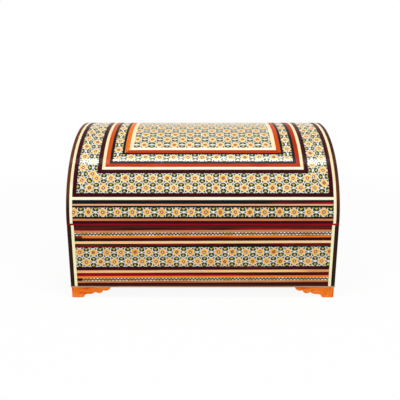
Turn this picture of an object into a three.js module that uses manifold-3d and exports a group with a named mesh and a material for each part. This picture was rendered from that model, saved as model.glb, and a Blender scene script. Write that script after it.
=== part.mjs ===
// Domed jewelry box with marquetry strips, a hinged barrel lid and four bracket feet.
// Millimetres, +Z up, +X to the right, and the front faces -Y.
// The origin is on the ground, under the middle of the box and its hinges.

import * as THREE from 'three';
import { mergeVertices } from 'three/addons/utils/BufferGeometryUtils.js';
import Module from 'manifold-3d';

const wasm = await Module();
wasm.setup();

// Driving dimensions of the whole box
const WIDTH = 270;
const DEPTH = 210;
const FOOT_HEIGHT = 11.5;
const BODY_HEIGHT = 67;
const LID_HEIGHT = 91.5;

// Boards, veneers and linings
const WALL = 8;
const VENEER = 1.5;
const RIM = 0.8;
const LINING = 1.6;
const BASE_LIP = 1.2;
const BASE_CORE = 4.4;
const FLOOR_PAD = 3;
const GLUE_LINE = 0.1;
const LINING_GAP = 0.3;

// Strips on the upright sides, measured down from the seam
const BODY_CORNER_LEG = 6.9;
const BODY_UPPER_BAND_END = 23.2;
const BODY_KHATAM_BAND_END = 44.8;

// Strips on the lid: distances from its ends, and lengths along its curve up from the seam
const LID_EDGE_STRIP = 5.8;
const LID_FRAME_STEPS = [
  { name: 'lid_dark_line_frame', inset: 9.6, start: 28, colour: 0x2c0d0c },
  { name: 'lid_khatam_border', inset: 29.6, start: 31, colour: 0xb8a37c },
  { name: 'lid_outer_stringing_frame', inset: 43.4, start: 51.3, colour: 0xc86a3a },
  { name: 'lid_khatam_frame', inset: 53.2, start: 65.3, colour: 0xc4b088 },
  { name: 'lid_inner_stringing_frame', inset: 63.3, start: 75.1, colour: 0xd9713a },
];
const CENTRE_PANEL_START = 85.2;
const CURVE_STEPS = 40;
const TABLE_STEPS = 4000;
const ROUND_OFF = 1e-6;
const CUT_MARGIN = 2;

// Bracket feet
const FOOT_INSET = 0.6;
const FOOT_LENGTH = 40;
const FOOT_THICKNESS = 7;
const FOOT_SOLE = 11.5;
const FOOT_CURVE_STEPS = 6;
// Each scallop swings from the last one's end, past a bend point, to its own end.
// A point is a length along the wing from the corner and a height above the ground.
const FOOT_SCALLOPS = [
  { bend: [12.6, 3.2], end: [16.1, 3.7] },
  { bend: [20.7, 3.1], end: [23.8, 5.8] },
  { bend: [30.1, 2.6], end: [32, 7.6] },
  { bend: [38.1, 6.2], end: [FOOT_LENGTH, FOOT_HEIGHT - 0.5] },
];

// Hinges
const HINGE_X = 82;
const HINGE_LENGTH = 30;
const HINGE_MIDDLE = 11;
const HINGE_PLAY = 0.3;
const HINGE_LEAF_DEPTH = 9;
const KNUCKLE_RADIUS = 2.1;
const KNUCKLE_STANDOFF = 2.4;
const PIN_RADIUS = 0.9;
const PIN_BORE_RADIUS = 1.15;
const PIN_OVERHANG = 0.6;
const KNUCKLE_SIDES = 20;
const LID_OPEN_DEGREES = 100;
const STOP_LIP = 1.1;
const STOP_LIP_GAP = 0.2;
const STOP_LIP_DROP = 6;
const STOP_TAIL_REACH = 4.4;
const STOP_TAIL_THICKNESS = 1.1;
const STOP_TAIL_ROOT = 1.6;

// Countersunk holes for three screws in each hinge leaf and in the wood behind it
const SCREW_STEP = 9.5;
const SCREW_INSET = 5.2;
const SCREW_HOLE_DEPTH = 5.7;
const SCREW_HOLE_TIP = 1.4;
const SCREW_HOLE_RADIUS = 0.9;
const COUNTERSINK_RADIUS = 1.7;
const COUNTERSINK_DEPTH = 0.7;
const SCREW_HOLE_SIDES = 16;

// Places worked out from the driving dimensions
const HALF_WIDTH = WIDTH / 2;
const HALF_DEPTH = DEPTH / 2;
const SEAM = FOOT_HEIGHT + BODY_HEIGHT;
const WALL_FOOT = FOOT_HEIGHT + BASE_LIP;
const WALL_TOP = SEAM - RIM;
const WALL_OUT_X = HALF_WIDTH - VENEER;
const WALL_OUT_Y = HALF_DEPTH - VENEER;
const WALL_IN_X = WALL_OUT_X - WALL;
const WALL_IN_Y = WALL_OUT_Y - WALL;
const FLOOR = WALL_FOOT + BASE_CORE;
const LINED_X = WALL_IN_X - LINING;
const LINED_Y = WALL_IN_Y - LINING;
const HINGE_Y = HALF_DEPTH + KNUCKLE_STANDOFF;
const SCREW_Y = HALF_DEPTH - SCREW_INSET;
const OPEN_ANGLE = THREE.MathUtils.degToRad(LID_OPEN_DEGREES);
const STOP_FACE = STOP_LIP_GAP + STOP_LIP + HINGE_PLAY / 2;
const STOP_TAIL_OFFSET = STOP_FACE - KNUCKLE_STANDOFF;
const STOP_TAIL_END = STOP_TAIL_OFFSET * Math.cos(OPEN_ANGLE) + STOP_TAIL_REACH * Math.sin(OPEN_ANGLE);
const HINGE_OVERHANG = KNUCKLE_STANDOFF + STOP_TAIL_END;

// Colours of the finishes
const COLOURS = {
  softwood: 0xb98c5a,
  darkEdge: 0x33190f,
  brownEdge: 0x6e3a1c,
  crimson: 0x9c0a22,
  khatam: 0xb8a37c,
  upperBand: 0x6b2a20,
  lowerBand: 0x8c4a2c,
  lidBand: 0x5c2a22,
  endPanel: 0xa8936d,
  velvet: 0x6e0f22,
  brass: 0xc79a45,
  footOrange: 0xe0691f,
};

function finish(color, roughness, metalness = 0) {
  return new THREE.MeshStandardMaterial({ color, roughness, metalness });
}

const LACQUER = 0.35;
const FINISH = {
  softwood: finish(COLOURS.softwood, 0.7),
  darkEdge: finish(COLOURS.darkEdge, LACQUER),
  brownEdge: finish(COLOURS.brownEdge, LACQUER),
  crimson: finish(COLOURS.crimson, LACQUER),
  khatam: finish(COLOURS.khatam, LACQUER),
  upperBand: finish(COLOURS.upperBand, LACQUER),
  lowerBand: finish(COLOURS.lowerBand, LACQUER),
  lidBand: finish(COLOURS.lidBand, LACQUER),
  endPanel: finish(COLOURS.endPanel, LACQUER),
  footOrange: finish(COLOURS.footOrange, LACQUER),
  velvet: finish(COLOURS.velvet, 0.95),
  brass: finish(COLOURS.brass, 0.3, 1),
};

const box = new THREE.Group();
const body = new THREE.Group();
const lid = new THREE.Group();
box.add(body, lid);
// The hinges stand out behind, so the box moves forward by half of that to keep the origin under its middle.
box.position.y = -HINGE_OVERHANG / 2;

function addPiece(group, name, geometry, material) {
  const mesh = new THREE.Mesh(geometry, material);
  mesh.name = name;
  group.add(mesh);
  return mesh;
}

// Solids

function block(x0, x1, y0, y1, z0, z1) {
  const geometry = new THREE.BoxGeometry(x1 - x0, y1 - y0, z1 - z0);
  geometry.translate((x0 + x1) / 2, (y0 + y1) / 2, (z0 + z1) / 2);
  return geometry;
}

function toManifold(geometry) {
  const bare = geometry.clone();
  bare.deleteAttribute('normal');
  bare.deleteAttribute('uv');
  const merged = mergeVertices(bare, 1e-4);
  const vertProperties = new Float32Array(merged.attributes.position.array);
  const triVerts = new Uint32Array(merged.index.array);
  return new wasm.Manifold(new wasm.Mesh({ numProp: 3, vertProperties, triVerts }));
}

function fromManifold(solid) {
  const { vertProperties, triVerts } = solid.getMesh();
  const geometry = new THREE.BufferGeometry();
  geometry.setAttribute('position', new THREE.BufferAttribute(new Float32Array(vertProperties), 3));
  geometry.setIndex(new THREE.BufferAttribute(new Uint32Array(triVerts), 1));
  geometry.computeVertexNormals();
  return geometry;
}

function join(...geometries) {
  const solid = geometries.map(toManifold).reduce((whole, next) => whole.add(next));
  return fromManifold(solid);
}

function cut(geometry, ...cutters) {
  const solid = cutters.map(toManifold).reduce((whole, next) => whole.subtract(next), toManifold(geometry));
  return fromManifold(solid);
}

// Stands a shape drawn in the (Y, Z) plane up and runs it along X, from x0 to x1.
function extrudeAlongX(points, x0, x1) {
  const shape = new THREE.Shape(points);
  const geometry = new THREE.ExtrudeGeometry(shape, { depth: x1 - x0, bevelEnabled: false });
  const axes = new THREE.Matrix4().makeBasis(
    new THREE.Vector3(0, 1, 0),
    new THREE.Vector3(0, 0, 1),
    new THREE.Vector3(1, 0, 0),
  );
  geometry.applyMatrix4(axes);
  geometry.translate(x0, 0, 0);
  return geometry;
}

// Runs a shape drawn in the (X, Y) plane up from z0 to z1.
function extrudeUp(points, z0, z1) {
  const shape = new THREE.Shape(points);
  const geometry = new THREE.ExtrudeGeometry(shape, { depth: z1 - z0, bevelEnabled: false });
  geometry.translate(0, 0, z0);
  return geometry;
}

// The lid's curve: half an ellipse from the front of the seam over the top to the back of the seam.
// curveAngle turns a length along the curve into the ellipse's angle.

function ellipsePoint(angle) {
  return new THREE.Vector2(-HALF_DEPTH * Math.cos(angle), LID_HEIGHT * Math.sin(angle));
}

const curveTable = [0];
for (let i = 1; i <= TABLE_STEPS; i += 1) {
  const here = ellipsePoint((Math.PI * i) / TABLE_STEPS);
  const before = ellipsePoint((Math.PI * (i - 1)) / TABLE_STEPS);
  curveTable.push(curveTable[i - 1] + here.distanceTo(before));
}
const CURVE_LENGTH = curveTable[TABLE_STEPS];

function curveAngle(length) {
  const after = Math.max(1, curveTable.findIndex((value) => value >= length - ROUND_OFF));
  const share = (length - curveTable[after - 1]) / (curveTable[after] - curveTable[after - 1]);
  return (Math.PI * (after - 1 + share)) / TABLE_STEPS;
}

// A point at a length along the curve and at a depth below the lid's outer surface, never lower than the rim.
function curvePoint(length, depth) {
  const angle = curveAngle(length);
  const outward = new THREE.Vector2(-Math.cos(angle) / HALF_DEPTH, Math.sin(angle) / LID_HEIGHT);
  outward.normalize();
  const point = ellipsePoint(angle).addScaledVector(outward, -depth);
  return new THREE.Vector2(point.x, SEAM + Math.max(point.y, RIM));
}

// Lengths from start to end, with every step of the shared division of the curve between them.
function curveLengths(start, end) {
  const lengths = [start];
  for (let i = 0; i <= CURVE_STEPS; i += 1) {
    const length = (CURVE_LENGTH * i) / CURVE_STEPS;
    if (length > start + ROUND_OFF && length < end - ROUND_OFF) {
      lengths.push(length);
    }
  }
  lengths.push(end);
  return lengths;
}

// A bent strip between two depths, from one length along the curve to another, run along X.
function bentStrip(x0, x1, start, end, depthOut, depthIn) {
  const lengths = curveLengths(start, end);
  const outer = lengths.map((length) => curvePoint(length, depthOut));
  const inner = lengths.map((length) => curvePoint(length, depthIn)).reverse();
  return extrudeAlongX([...outer, ...inner], x0, x1);
}

// A board that fills the curve from below a depth down to the rim.
function halfMoon(x0, x1, depth) {
  const outline = curveLengths(RIM, CURVE_LENGTH - RIM).map((length) => curvePoint(length, depth));
  return extrudeAlongX(outline, x0, x1);
}

// A frame bent over the lid: a strip with a smaller window cut through it.
function bentFrame(outerX, outerStart, innerX, innerStart) {
  const skin = bentStrip(-outerX, outerX, outerStart, CURVE_LENGTH - outerStart, 0, VENEER);
  const window = bentStrip(
    -innerX,
    innerX,
    innerStart,
    CURVE_LENGTH - innerStart,
    -CUT_MARGIN,
    VENEER + CUT_MARGIN,
  );
  return cut(skin, window);
}

// Screw holes for the hinge at x. up is 1 for holes that run up into the lid, and -1 down into the body.

function screwHoles(x, up) {
  const outline = [
    new THREE.Vector2(0, -SCREW_HOLE_DEPTH),
    new THREE.Vector2(SCREW_HOLE_RADIUS, SCREW_HOLE_TIP - SCREW_HOLE_DEPTH),
    new THREE.Vector2(SCREW_HOLE_RADIUS, -COUNTERSINK_DEPTH),
    new THREE.Vector2(COUNTERSINK_RADIUS, 0),
    new THREE.Vector2(COUNTERSINK_RADIUS, CUT_MARGIN),
    new THREE.Vector2(0, CUT_MARGIN),
  ];
  return [-SCREW_STEP, 0, SCREW_STEP].map((step) => {
    const hole = new THREE.LatheGeometry(outline, SCREW_HOLE_SIDES);
    hole.rotateX((-up * Math.PI) / 2);
    hole.translate(x + step, SCREW_Y, SEAM);
    return hole;
  });
}

// Body boards

function rebatedBase() {
  const lip = block(-HALF_WIDTH, HALF_WIDTH, -HALF_DEPTH, HALF_DEPTH, FOOT_HEIGHT, WALL_FOOT);
  const core = block(-WALL_IN_X, WALL_IN_X, -WALL_IN_Y, WALL_IN_Y, FOOT_HEIGHT, FLOOR);
  return join(lip, core);
}

addPiece(body, 'base_board', rebatedBase(), FINISH.softwood);
addPiece(
  body,
  'front_wall',
  block(-WALL_OUT_X, WALL_OUT_X, -WALL_OUT_Y, -WALL_IN_Y, WALL_FOOT, WALL_TOP),
  FINISH.softwood,
);
addPiece(
  body,
  'back_wall',
  cut(
    block(-WALL_OUT_X, WALL_OUT_X, WALL_IN_Y, WALL_OUT_Y, WALL_FOOT, WALL_TOP),
    ...screwHoles(-HINGE_X, -1),
    ...screwHoles(HINGE_X, -1),
  ),
  FINISH.softwood,
);
addPiece(
  body,
  'left_wall',
  block(-WALL_OUT_X, -WALL_IN_X, -WALL_IN_Y, WALL_IN_Y, WALL_FOOT, WALL_TOP),
  FINISH.softwood,
);
addPiece(
  body,
  'right_wall',
  block(WALL_IN_X, WALL_OUT_X, -WALL_IN_Y, WALL_IN_Y, WALL_FOOT, WALL_TOP),
  FINISH.softwood,
);

// Rim strips, with a notch for each hinge leaf

function hingeNotches(z0, z1) {
  return [-HINGE_X, HINGE_X].map((x) => block(
    x - HINGE_LENGTH / 2 - GLUE_LINE,
    x + HINGE_LENGTH / 2 + GLUE_LINE,
    HALF_DEPTH - HINGE_LEAF_DEPTH - GLUE_LINE,
    HALF_DEPTH + CUT_MARGIN,
    z0 - CUT_MARGIN,
    z1 + CUT_MARGIN,
  ));
}

function rimFrame(z0, z1) {
  const plate = block(-HALF_WIDTH, HALF_WIDTH, -HALF_DEPTH, HALF_DEPTH, z0, z1);
  const opening = block(-LINED_X, LINED_X, -LINED_Y, LINED_Y, z0 - CUT_MARGIN, z1 + CUT_MARGIN);
  return cut(plate, opening, ...hingeNotches(z0, z1));
}

addPiece(body, 'body_rim', rimFrame(WALL_TOP, SEAM), FINISH.crimson);
addPiece(lid, 'lid_rim', rimFrame(SEAM, SEAM + RIM), FINISH.crimson);

// Corner edgings: an L of veneer folded round each upright corner

function cornerEdging(sideX, sideY) {
  const corner = [
    [HALF_WIDTH, HALF_DEPTH],
    [HALF_WIDTH, HALF_DEPTH - BODY_CORNER_LEG],
    [WALL_OUT_X, HALF_DEPTH - BODY_CORNER_LEG],
    [WALL_OUT_X, WALL_OUT_Y],
    [HALF_WIDTH - BODY_CORNER_LEG, WALL_OUT_Y],
    [HALF_WIDTH - BODY_CORNER_LEG, HALF_DEPTH],
  ].map(([x, y]) => new THREE.Vector2(x * sideX, y * sideY));
  return extrudeUp(corner, WALL_FOOT, WALL_TOP);
}

for (const [yName, sideY] of [['front', -1], ['back', 1]]) {
  for (const [xName, sideX] of [['left', -1], ['right', 1]]) {
    addPiece(body, `${yName}_${xName}_corner_edging`, cornerEdging(sideX, sideY), FINISH.darkEdge);
  }
}

// Three bands of marquetry on each side, between the corner edgings

const BODY_BAND_FOOT = BODY_HEIGHT - BASE_LIP;
const BODY_BANDS = [
  { name: 'upper_banding', top: RIM, bottom: BODY_UPPER_BAND_END, material: FINISH.upperBand },
  { name: 'khatam_band', top: BODY_UPPER_BAND_END, bottom: BODY_KHATAM_BAND_END, material: FINISH.khatam },
  { name: 'lower_banding', top: BODY_KHATAM_BAND_END, bottom: BODY_BAND_FOOT, material: FINISH.lowerBand },
];
const BAND_HALF_X = HALF_WIDTH - BODY_CORNER_LEG;
const BAND_HALF_Y = HALF_DEPTH - BODY_CORNER_LEG;

for (const band of BODY_BANDS) {
  const z0 = SEAM - band.bottom;
  const z1 = SEAM - band.top;
  const front = block(-BAND_HALF_X, BAND_HALF_X, -HALF_DEPTH, -WALL_OUT_Y, z0, z1);
  const back = block(-BAND_HALF_X, BAND_HALF_X, WALL_OUT_Y, HALF_DEPTH, z0, z1);
  const left = block(-HALF_WIDTH, -WALL_OUT_X, -BAND_HALF_Y, BAND_HALF_Y, z0, z1);
  const right = block(WALL_OUT_X, HALF_WIDTH, -BAND_HALF_Y, BAND_HALF_Y, z0, z1);
  addPiece(body, `front_${band.name}`, front, band.material);
  addPiece(body, `back_${band.name}`, back, band.material);
  addPiece(body, `left_${band.name}`, left, band.material);
  addPiece(body, `right_${band.name}`, right, band.material);
}

// Velvet inside the body: a floor pad and four wall linings

const PAD_X = LINED_X - LINING_GAP;
const PAD_Y = LINED_Y - LINING_GAP;
addPiece(
  body,
  'floor_pad',
  block(-PAD_X, PAD_X, -PAD_Y, PAD_Y, FLOOR, FLOOR + FLOOR_PAD),
  FINISH.velvet,
);
addPiece(
  body,
  'front_wall_lining',
  block(-WALL_IN_X, WALL_IN_X, -WALL_IN_Y, -LINED_Y, FLOOR, WALL_TOP),
  FINISH.velvet,
);
addPiece(
  body,
  'back_wall_lining',
  block(-WALL_IN_X, WALL_IN_X, LINED_Y, WALL_IN_Y, FLOOR, WALL_TOP),
  FINISH.velvet,
);
addPiece(
  body,
  'left_wall_lining',
  block(-WALL_IN_X, -LINED_X, -LINED_Y, LINED_Y, FLOOR, WALL_TOP),
  FINISH.velvet,
);
addPiece(
  body,
  'right_wall_lining',
  block(LINED_X, WALL_IN_X, -LINED_Y, LINED_Y, FLOOR, WALL_TOP),
  FINISH.velvet,
);

// Bracket feet: two wings meet at the corner, each with a flat sole and three scallops rising to the base

function footOutline() {
  const outline = new THREE.Shape();
  outline.moveTo(0, 0);
  outline.lineTo(FOOT_SOLE, 0);
  for (const scallop of FOOT_SCALLOPS) {
    outline.quadraticCurveTo(scallop.bend[0], scallop.bend[1], scallop.end[0], scallop.end[1]);
  }
  outline.lineTo(FOOT_LENGTH, FOOT_HEIGHT);
  outline.lineTo(0, FOOT_HEIGHT);
  return outline.extractPoints(FOOT_CURVE_STEPS).shape;
}

// One wing, running from the corner towards the middle along X, with its outer face at y = 0.
function footWing() {
  const shape = new THREE.Shape(footOutline());
  const geometry = new THREE.ExtrudeGeometry(shape, { depth: FOOT_THICKNESS, bevelEnabled: false });
  geometry.rotateX(Math.PI / 2);
  geometry.translate(0, FOOT_THICKNESS, 0);
  return geometry;
}

function foot() {
  const alongX = footWing();
  const alongY = footWing();
  alongY.rotateZ(Math.PI / 2);
  alongY.translate(FOOT_THICKNESS, 0, 0);
  return join(alongX, alongY);
}

const FOOT_X = HALF_WIDTH - FOOT_INSET;
const FOOT_Y = HALF_DEPTH - FOOT_INSET;
const footShape = foot();
const FOOT_CORNERS = [
  { name: 'front_left_foot', x: -FOOT_X, y: -FOOT_Y, turn: 0 },
  { name: 'front_right_foot', x: FOOT_X, y: -FOOT_Y, turn: 1 },
  { name: 'back_right_foot', x: FOOT_X, y: FOOT_Y, turn: 2 },
  { name: 'back_left_foot', x: -FOOT_X, y: FOOT_Y, turn: 3 },
];
for (const corner of FOOT_CORNERS) {
  const mesh = addPiece(body, corner.name, footShape, FINISH.footOrange);
  mesh.position.set(corner.x, corner.y, 0);
  mesh.rotation.z = (Math.PI / 2) * corner.turn;
}

// Lid boards

const BARREL_OUT = VENEER + GLUE_LINE;
const BARREL_IN = BARREL_OUT + WALL;
const END_BOARD_DEPTH = BARREL_IN + GLUE_LINE;
const LID_LINING_OUT = BARREL_IN + LINING_GAP;
const LID_LINING_IN = LID_LINING_OUT + LINING;
const LID_END_LINING_DEPTH = LID_LINING_IN + LINING_GAP;
const RIM_TO_RIM = [RIM, CURVE_LENGTH - RIM];

addPiece(
  lid,
  'lid_barrel',
  cut(
    bentStrip(-WALL_OUT_X, WALL_OUT_X, ...RIM_TO_RIM, BARREL_OUT, BARREL_IN),
    ...screwHoles(-HINGE_X, 1),
    ...screwHoles(HINGE_X, 1),
  ),
  FINISH.softwood,
);
addPiece(lid, 'lid_left_end_board', halfMoon(-WALL_OUT_X, -WALL_IN_X, END_BOARD_DEPTH), FINISH.softwood);
addPiece(lid, 'lid_right_end_board', halfMoon(WALL_IN_X, WALL_OUT_X, END_BOARD_DEPTH), FINISH.softwood);

// Lid marquetry

const EDGE_X = HALF_WIDTH - LID_EDGE_STRIP;
const FIRST_FRAME_START = LID_FRAME_STEPS[0].start;
addPiece(
  lid,
  'lid_left_edge_strip',
  bentStrip(-HALF_WIDTH, -EDGE_X, ...RIM_TO_RIM, 0, VENEER),
  FINISH.brownEdge,
);
addPiece(
  lid,
  'lid_right_edge_strip',
  bentStrip(EDGE_X, HALF_WIDTH, ...RIM_TO_RIM, 0, VENEER),
  FINISH.brownEdge,
);
addPiece(
  lid,
  'lid_front_banding',
  bentStrip(-EDGE_X, EDGE_X, RIM, FIRST_FRAME_START - GLUE_LINE, 0, VENEER),
  FINISH.lidBand,
);
addPiece(
  lid,
  'lid_back_banding',
  bentStrip(-EDGE_X, EDGE_X, CURVE_LENGTH - FIRST_FRAME_START + GLUE_LINE, CURVE_LENGTH - RIM, 0, VENEER),
  FINISH.lidBand,
);

let frameOuterX = EDGE_X;
LID_FRAME_STEPS.forEach((step, index) => {
  const next = LID_FRAME_STEPS[index + 1];
  const innerStart = next ? next.start : CENTRE_PANEL_START;
  const innerX = HALF_WIDTH - step.inset;
  const outerX = index === 0 ? frameOuterX : frameOuterX - GLUE_LINE;
  addPiece(
    lid,
    step.name,
    bentFrame(outerX, step.start, innerX, innerStart - GLUE_LINE),
    finish(step.colour, LACQUER),
  );
  frameOuterX = innerX;
});
addPiece(
  lid,
  'lid_centre_khatam_panel',
  bentStrip(
    -frameOuterX + GLUE_LINE,
    frameOuterX - GLUE_LINE,
    CENTRE_PANEL_START,
    CURVE_LENGTH - CENTRE_PANEL_START,
    0,
    VENEER,
  ),
  FINISH.khatam,
);

const END_PANEL_DEPTH = VENEER + GLUE_LINE;
addPiece(lid, 'lid_left_end_panel', halfMoon(-HALF_WIDTH, -WALL_OUT_X, END_PANEL_DEPTH), FINISH.endPanel);
addPiece(lid, 'lid_right_end_panel', halfMoon(WALL_OUT_X, HALF_WIDTH, END_PANEL_DEPTH), FINISH.endPanel);

// Velvet inside the lid

addPiece(
  lid,
  'lid_lining',
  bentStrip(-WALL_IN_X, WALL_IN_X, ...RIM_TO_RIM, LID_LINING_OUT, LID_LINING_IN),
  FINISH.velvet,
);
addPiece(lid, 'lid_left_end_lining', halfMoon(-WALL_IN_X, -LINED_X, LID_END_LINING_DEPTH), FINISH.velvet);
addPiece(lid, 'lid_right_end_lining', halfMoon(LINED_X, WALL_IN_X, LID_END_LINING_DEPTH), FINISH.velvet);

// Hinges: the body leaf has the two outer knuckles and a stop lip,
// and the lid leaf has the middle knuckle and a stop tail

function rodAlongX(x0, x1, radius) {
  const geometry = new THREE.CylinderGeometry(radius, radius, x1 - x0, KNUCKLE_SIDES);
  geometry.rotateZ(Math.PI / 2);
  geometry.translate((x0 + x1) / 2, HINGE_Y, SEAM);
  return geometry;
}

function bodyLeaf(x) {
  const x0 = x - HINGE_LENGTH / 2;
  const x1 = x + HINGE_LENGTH / 2;
  const middle0 = x - HINGE_MIDDLE / 2 - HINGE_PLAY;
  const middle1 = x + HINGE_MIDDLE / 2 + HINGE_PLAY;
  const leafFront = HALF_DEPTH - HINGE_LEAF_DEPTH;
  const plate = block(x0, x1, leafFront, HALF_DEPTH, WALL_TOP, SEAM);
  const ends = [[x0, middle0], [middle1, x1]];
  const necks = ends.map(([a, b]) => block(a, b, HALF_DEPTH, HINGE_Y, WALL_TOP, SEAM));
  const knuckles = ends.map(([a, b]) => rodAlongX(a, b, KNUCKLE_RADIUS));
  const lipFront = HALF_DEPTH + STOP_LIP_GAP;
  const lip = block(x0, x1, lipFront, lipFront + STOP_LIP, SEAM - STOP_LIP_DROP, SEAM - KNUCKLE_RADIUS / 2);
  const clearance = rodAlongX(middle0, middle1, KNUCKLE_RADIUS + HINGE_PLAY);
  const bore = rodAlongX(x0 - CUT_MARGIN, x1 + CUT_MARGIN, PIN_BORE_RADIUS);
  return cut(join(plate, ...necks, ...knuckles, lip), clearance, bore, ...screwHoles(x, -1));
}

// The tail stands out behind the closed lid and swings down on to the body leaf's lip as the lid opens.
function stopTail(x) {
  const face = HALF_DEPTH + STOP_FACE;
  const tail = block(
    x - HINGE_MIDDLE / 2,
    x + HINGE_MIDDLE / 2,
    face,
    face + STOP_TAIL_THICKNESS,
    SEAM - STOP_TAIL_REACH,
    SEAM - STOP_TAIL_ROOT,
  );
  tail.translate(0, -HINGE_Y, -SEAM);
  tail.rotateX(OPEN_ANGLE);
  tail.translate(0, HINGE_Y, SEAM);
  return tail;
}

function lidLeaf(x) {
  const x0 = x - HINGE_LENGTH / 2;
  const x1 = x + HINGE_LENGTH / 2;
  const middle0 = x - HINGE_MIDDLE / 2;
  const middle1 = x + HINGE_MIDDLE / 2;
  const plate = block(x0, x1, HALF_DEPTH - HINGE_LEAF_DEPTH, HALF_DEPTH, SEAM, SEAM + RIM);
  const neck = block(middle0, middle1, HALF_DEPTH, HINGE_Y, SEAM, SEAM + RIM);
  const knuckle = rodAlongX(middle0, middle1, KNUCKLE_RADIUS);
  const bore = rodAlongX(x0 - CUT_MARGIN, x1 + CUT_MARGIN, PIN_BORE_RADIUS);
  return cut(join(plate, neck, knuckle, stopTail(x)), bore, ...screwHoles(x, 1));
}

function hingePin(x) {
  const reach = HINGE_LENGTH / 2 + PIN_OVERHANG;
  return rodAlongX(x - reach, x + reach, PIN_RADIUS);
}

for (const [sideName, x] of [['left', -HINGE_X], ['right', HINGE_X]]) {
  addPiece(body, `${sideName}_hinge_body_leaf`, bodyLeaf(x), FINISH.brass);
  addPiece(body, `${sideName}_hinge_pin`, hingePin(x), FINISH.brass);
  addPiece(lid, `${sideName}_hinge_lid_leaf`, lidLeaf(x), FINISH.brass);
}

export default box;
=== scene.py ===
"""Dresses the domed jewelry box: wood strips, khatam marquetry, bracket feet, velvet and hinges.

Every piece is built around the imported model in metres, and carries a procedural finish.
"""

from bisect import bisect_left
from collections import namedtuple
from itertools import count
from math import ceil, cos, pi, radians, sin, sqrt

import bmesh
import bpy
from bpy.props import FloatProperty, FloatVectorProperty, PointerProperty
from mathutils import Matrix, Vector, noise


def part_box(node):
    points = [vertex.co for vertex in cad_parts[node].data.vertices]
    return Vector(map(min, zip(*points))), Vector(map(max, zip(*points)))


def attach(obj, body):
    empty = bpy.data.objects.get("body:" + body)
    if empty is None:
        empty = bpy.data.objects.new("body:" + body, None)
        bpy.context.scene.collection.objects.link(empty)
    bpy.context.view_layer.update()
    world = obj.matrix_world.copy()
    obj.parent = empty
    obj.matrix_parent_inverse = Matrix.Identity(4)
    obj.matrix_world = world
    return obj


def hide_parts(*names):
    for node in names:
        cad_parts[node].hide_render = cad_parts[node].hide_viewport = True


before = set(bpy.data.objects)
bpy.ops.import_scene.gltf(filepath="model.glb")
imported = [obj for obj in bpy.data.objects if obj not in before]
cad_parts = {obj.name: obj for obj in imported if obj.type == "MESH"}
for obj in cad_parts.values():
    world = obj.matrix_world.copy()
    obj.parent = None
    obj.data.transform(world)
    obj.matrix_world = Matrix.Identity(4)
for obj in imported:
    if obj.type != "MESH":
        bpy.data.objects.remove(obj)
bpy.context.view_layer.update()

bl_info = {
    "name": "Marquetry Jewelry Box",
    "version": (1, 0, 0),
    "blender": (4, 5, 0),
    "location": "View3D > Sidebar > Jewelry Box",
    "description": "Builds the strips, khatam, feet, velvet and hinges of a domed jewelry box",
    "category": "Add Mesh",
}

Strip = namedtuple("Strip", "finish near far starts ends zero shift tone")
OffCut = namedtuple("OffCut", "first finishes joint slant")
Wood = namedtuple("Wood", "base streak share figure")
Lamp = namedtuple("Lamp", "name place target size_x size_y power")

MM = 0.001
QUARTER_TURN = pi / 2

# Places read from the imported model
RIM_LOW, RIM_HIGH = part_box("lid_rim")
HALF_WIDTH = RIM_HIGH.x
HALF_DEPTH = (RIM_HIGH.y - RIM_LOW.y) / 2
MIDDLE_Y = (RIM_HIGH.y + RIM_LOW.y) / 2
SEAM = RIM_LOW.z
RIM = RIM_HIGH.z - RIM_LOW.z
LID_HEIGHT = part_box("lid_left_edge_strip")[1].z - SEAM
VENEER = HALF_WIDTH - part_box("lid_barrel")[1].x
SIDES = ("front", "right", "back", "left")
LEFT_AND_RIGHT = (("left", -1), ("right", 1))
CORNERS = tuple(
    (f"{y_name}_{x_name}", side_x, side_y)
    for y_name, side_y in (("front", -1), ("back", 1))
    for x_name, side_x in LEFT_AND_RIGHT
)

# Strips on the lid, in millimetres across. The frames run from the outside in, and each strip has
# one width on the two sides and one on the front and back.
LID_EDGE_STRIPS = (("edge_brown", 3.3), ("side_cream", 2.75))
LID_BANDING_STRIPS = (
    ("maroon", 2.9),
    ("coral", 2.05),
    ("black", 2.0),
    ("khatam_row", 9.1),
    ("black", 1.9),
    ("salmon", 1.75),
    ("dark_maroon", 3.95),
    ("cream", 2.85),
    ("black", 0.35),
)
LID_FRAMES = {
    "lid_dark_line_frame": (("maroon", 3.8, 3.25),),
    "lid_khatam_border": (
        ("black", 0.4, 0.4),
        ("khatam_rows", 19.2, 20.5),
        ("black", 0.4, 0.3),
    ),
    "lid_outer_stringing_frame": (
        ("maroon", 4.0, 4.0),
        ("cream", 3.1, 3.05),
        ("red_orange", 4.1, 3.95),
        ("black", 2.6, 2.3),
    ),
    "lid_khatam_frame": (
        ("black", 0.3, 0.6),
        ("khatam_row", 8.6, 8.7),
        ("black", 0.9, 0.5),
    ),
    "lid_inner_stringing_frame": (
        ("black", 1.6, 1.7),
        ("red_orange", 4.5, 4.0),
        ("cream", 4.0, 3.3),
    ),
}

# How much paler the orange strips are on a frame's right and left side than on its front and back, and
# the strips that are of another wood there
SIDE_TONES = {"lid_outer_stringing_frame": (-0.35, 0.2), "lid_inner_stringing_frame": (0.15, 0.7)}
SIDE_WOODS = {"cream": "side_cream"}

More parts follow.
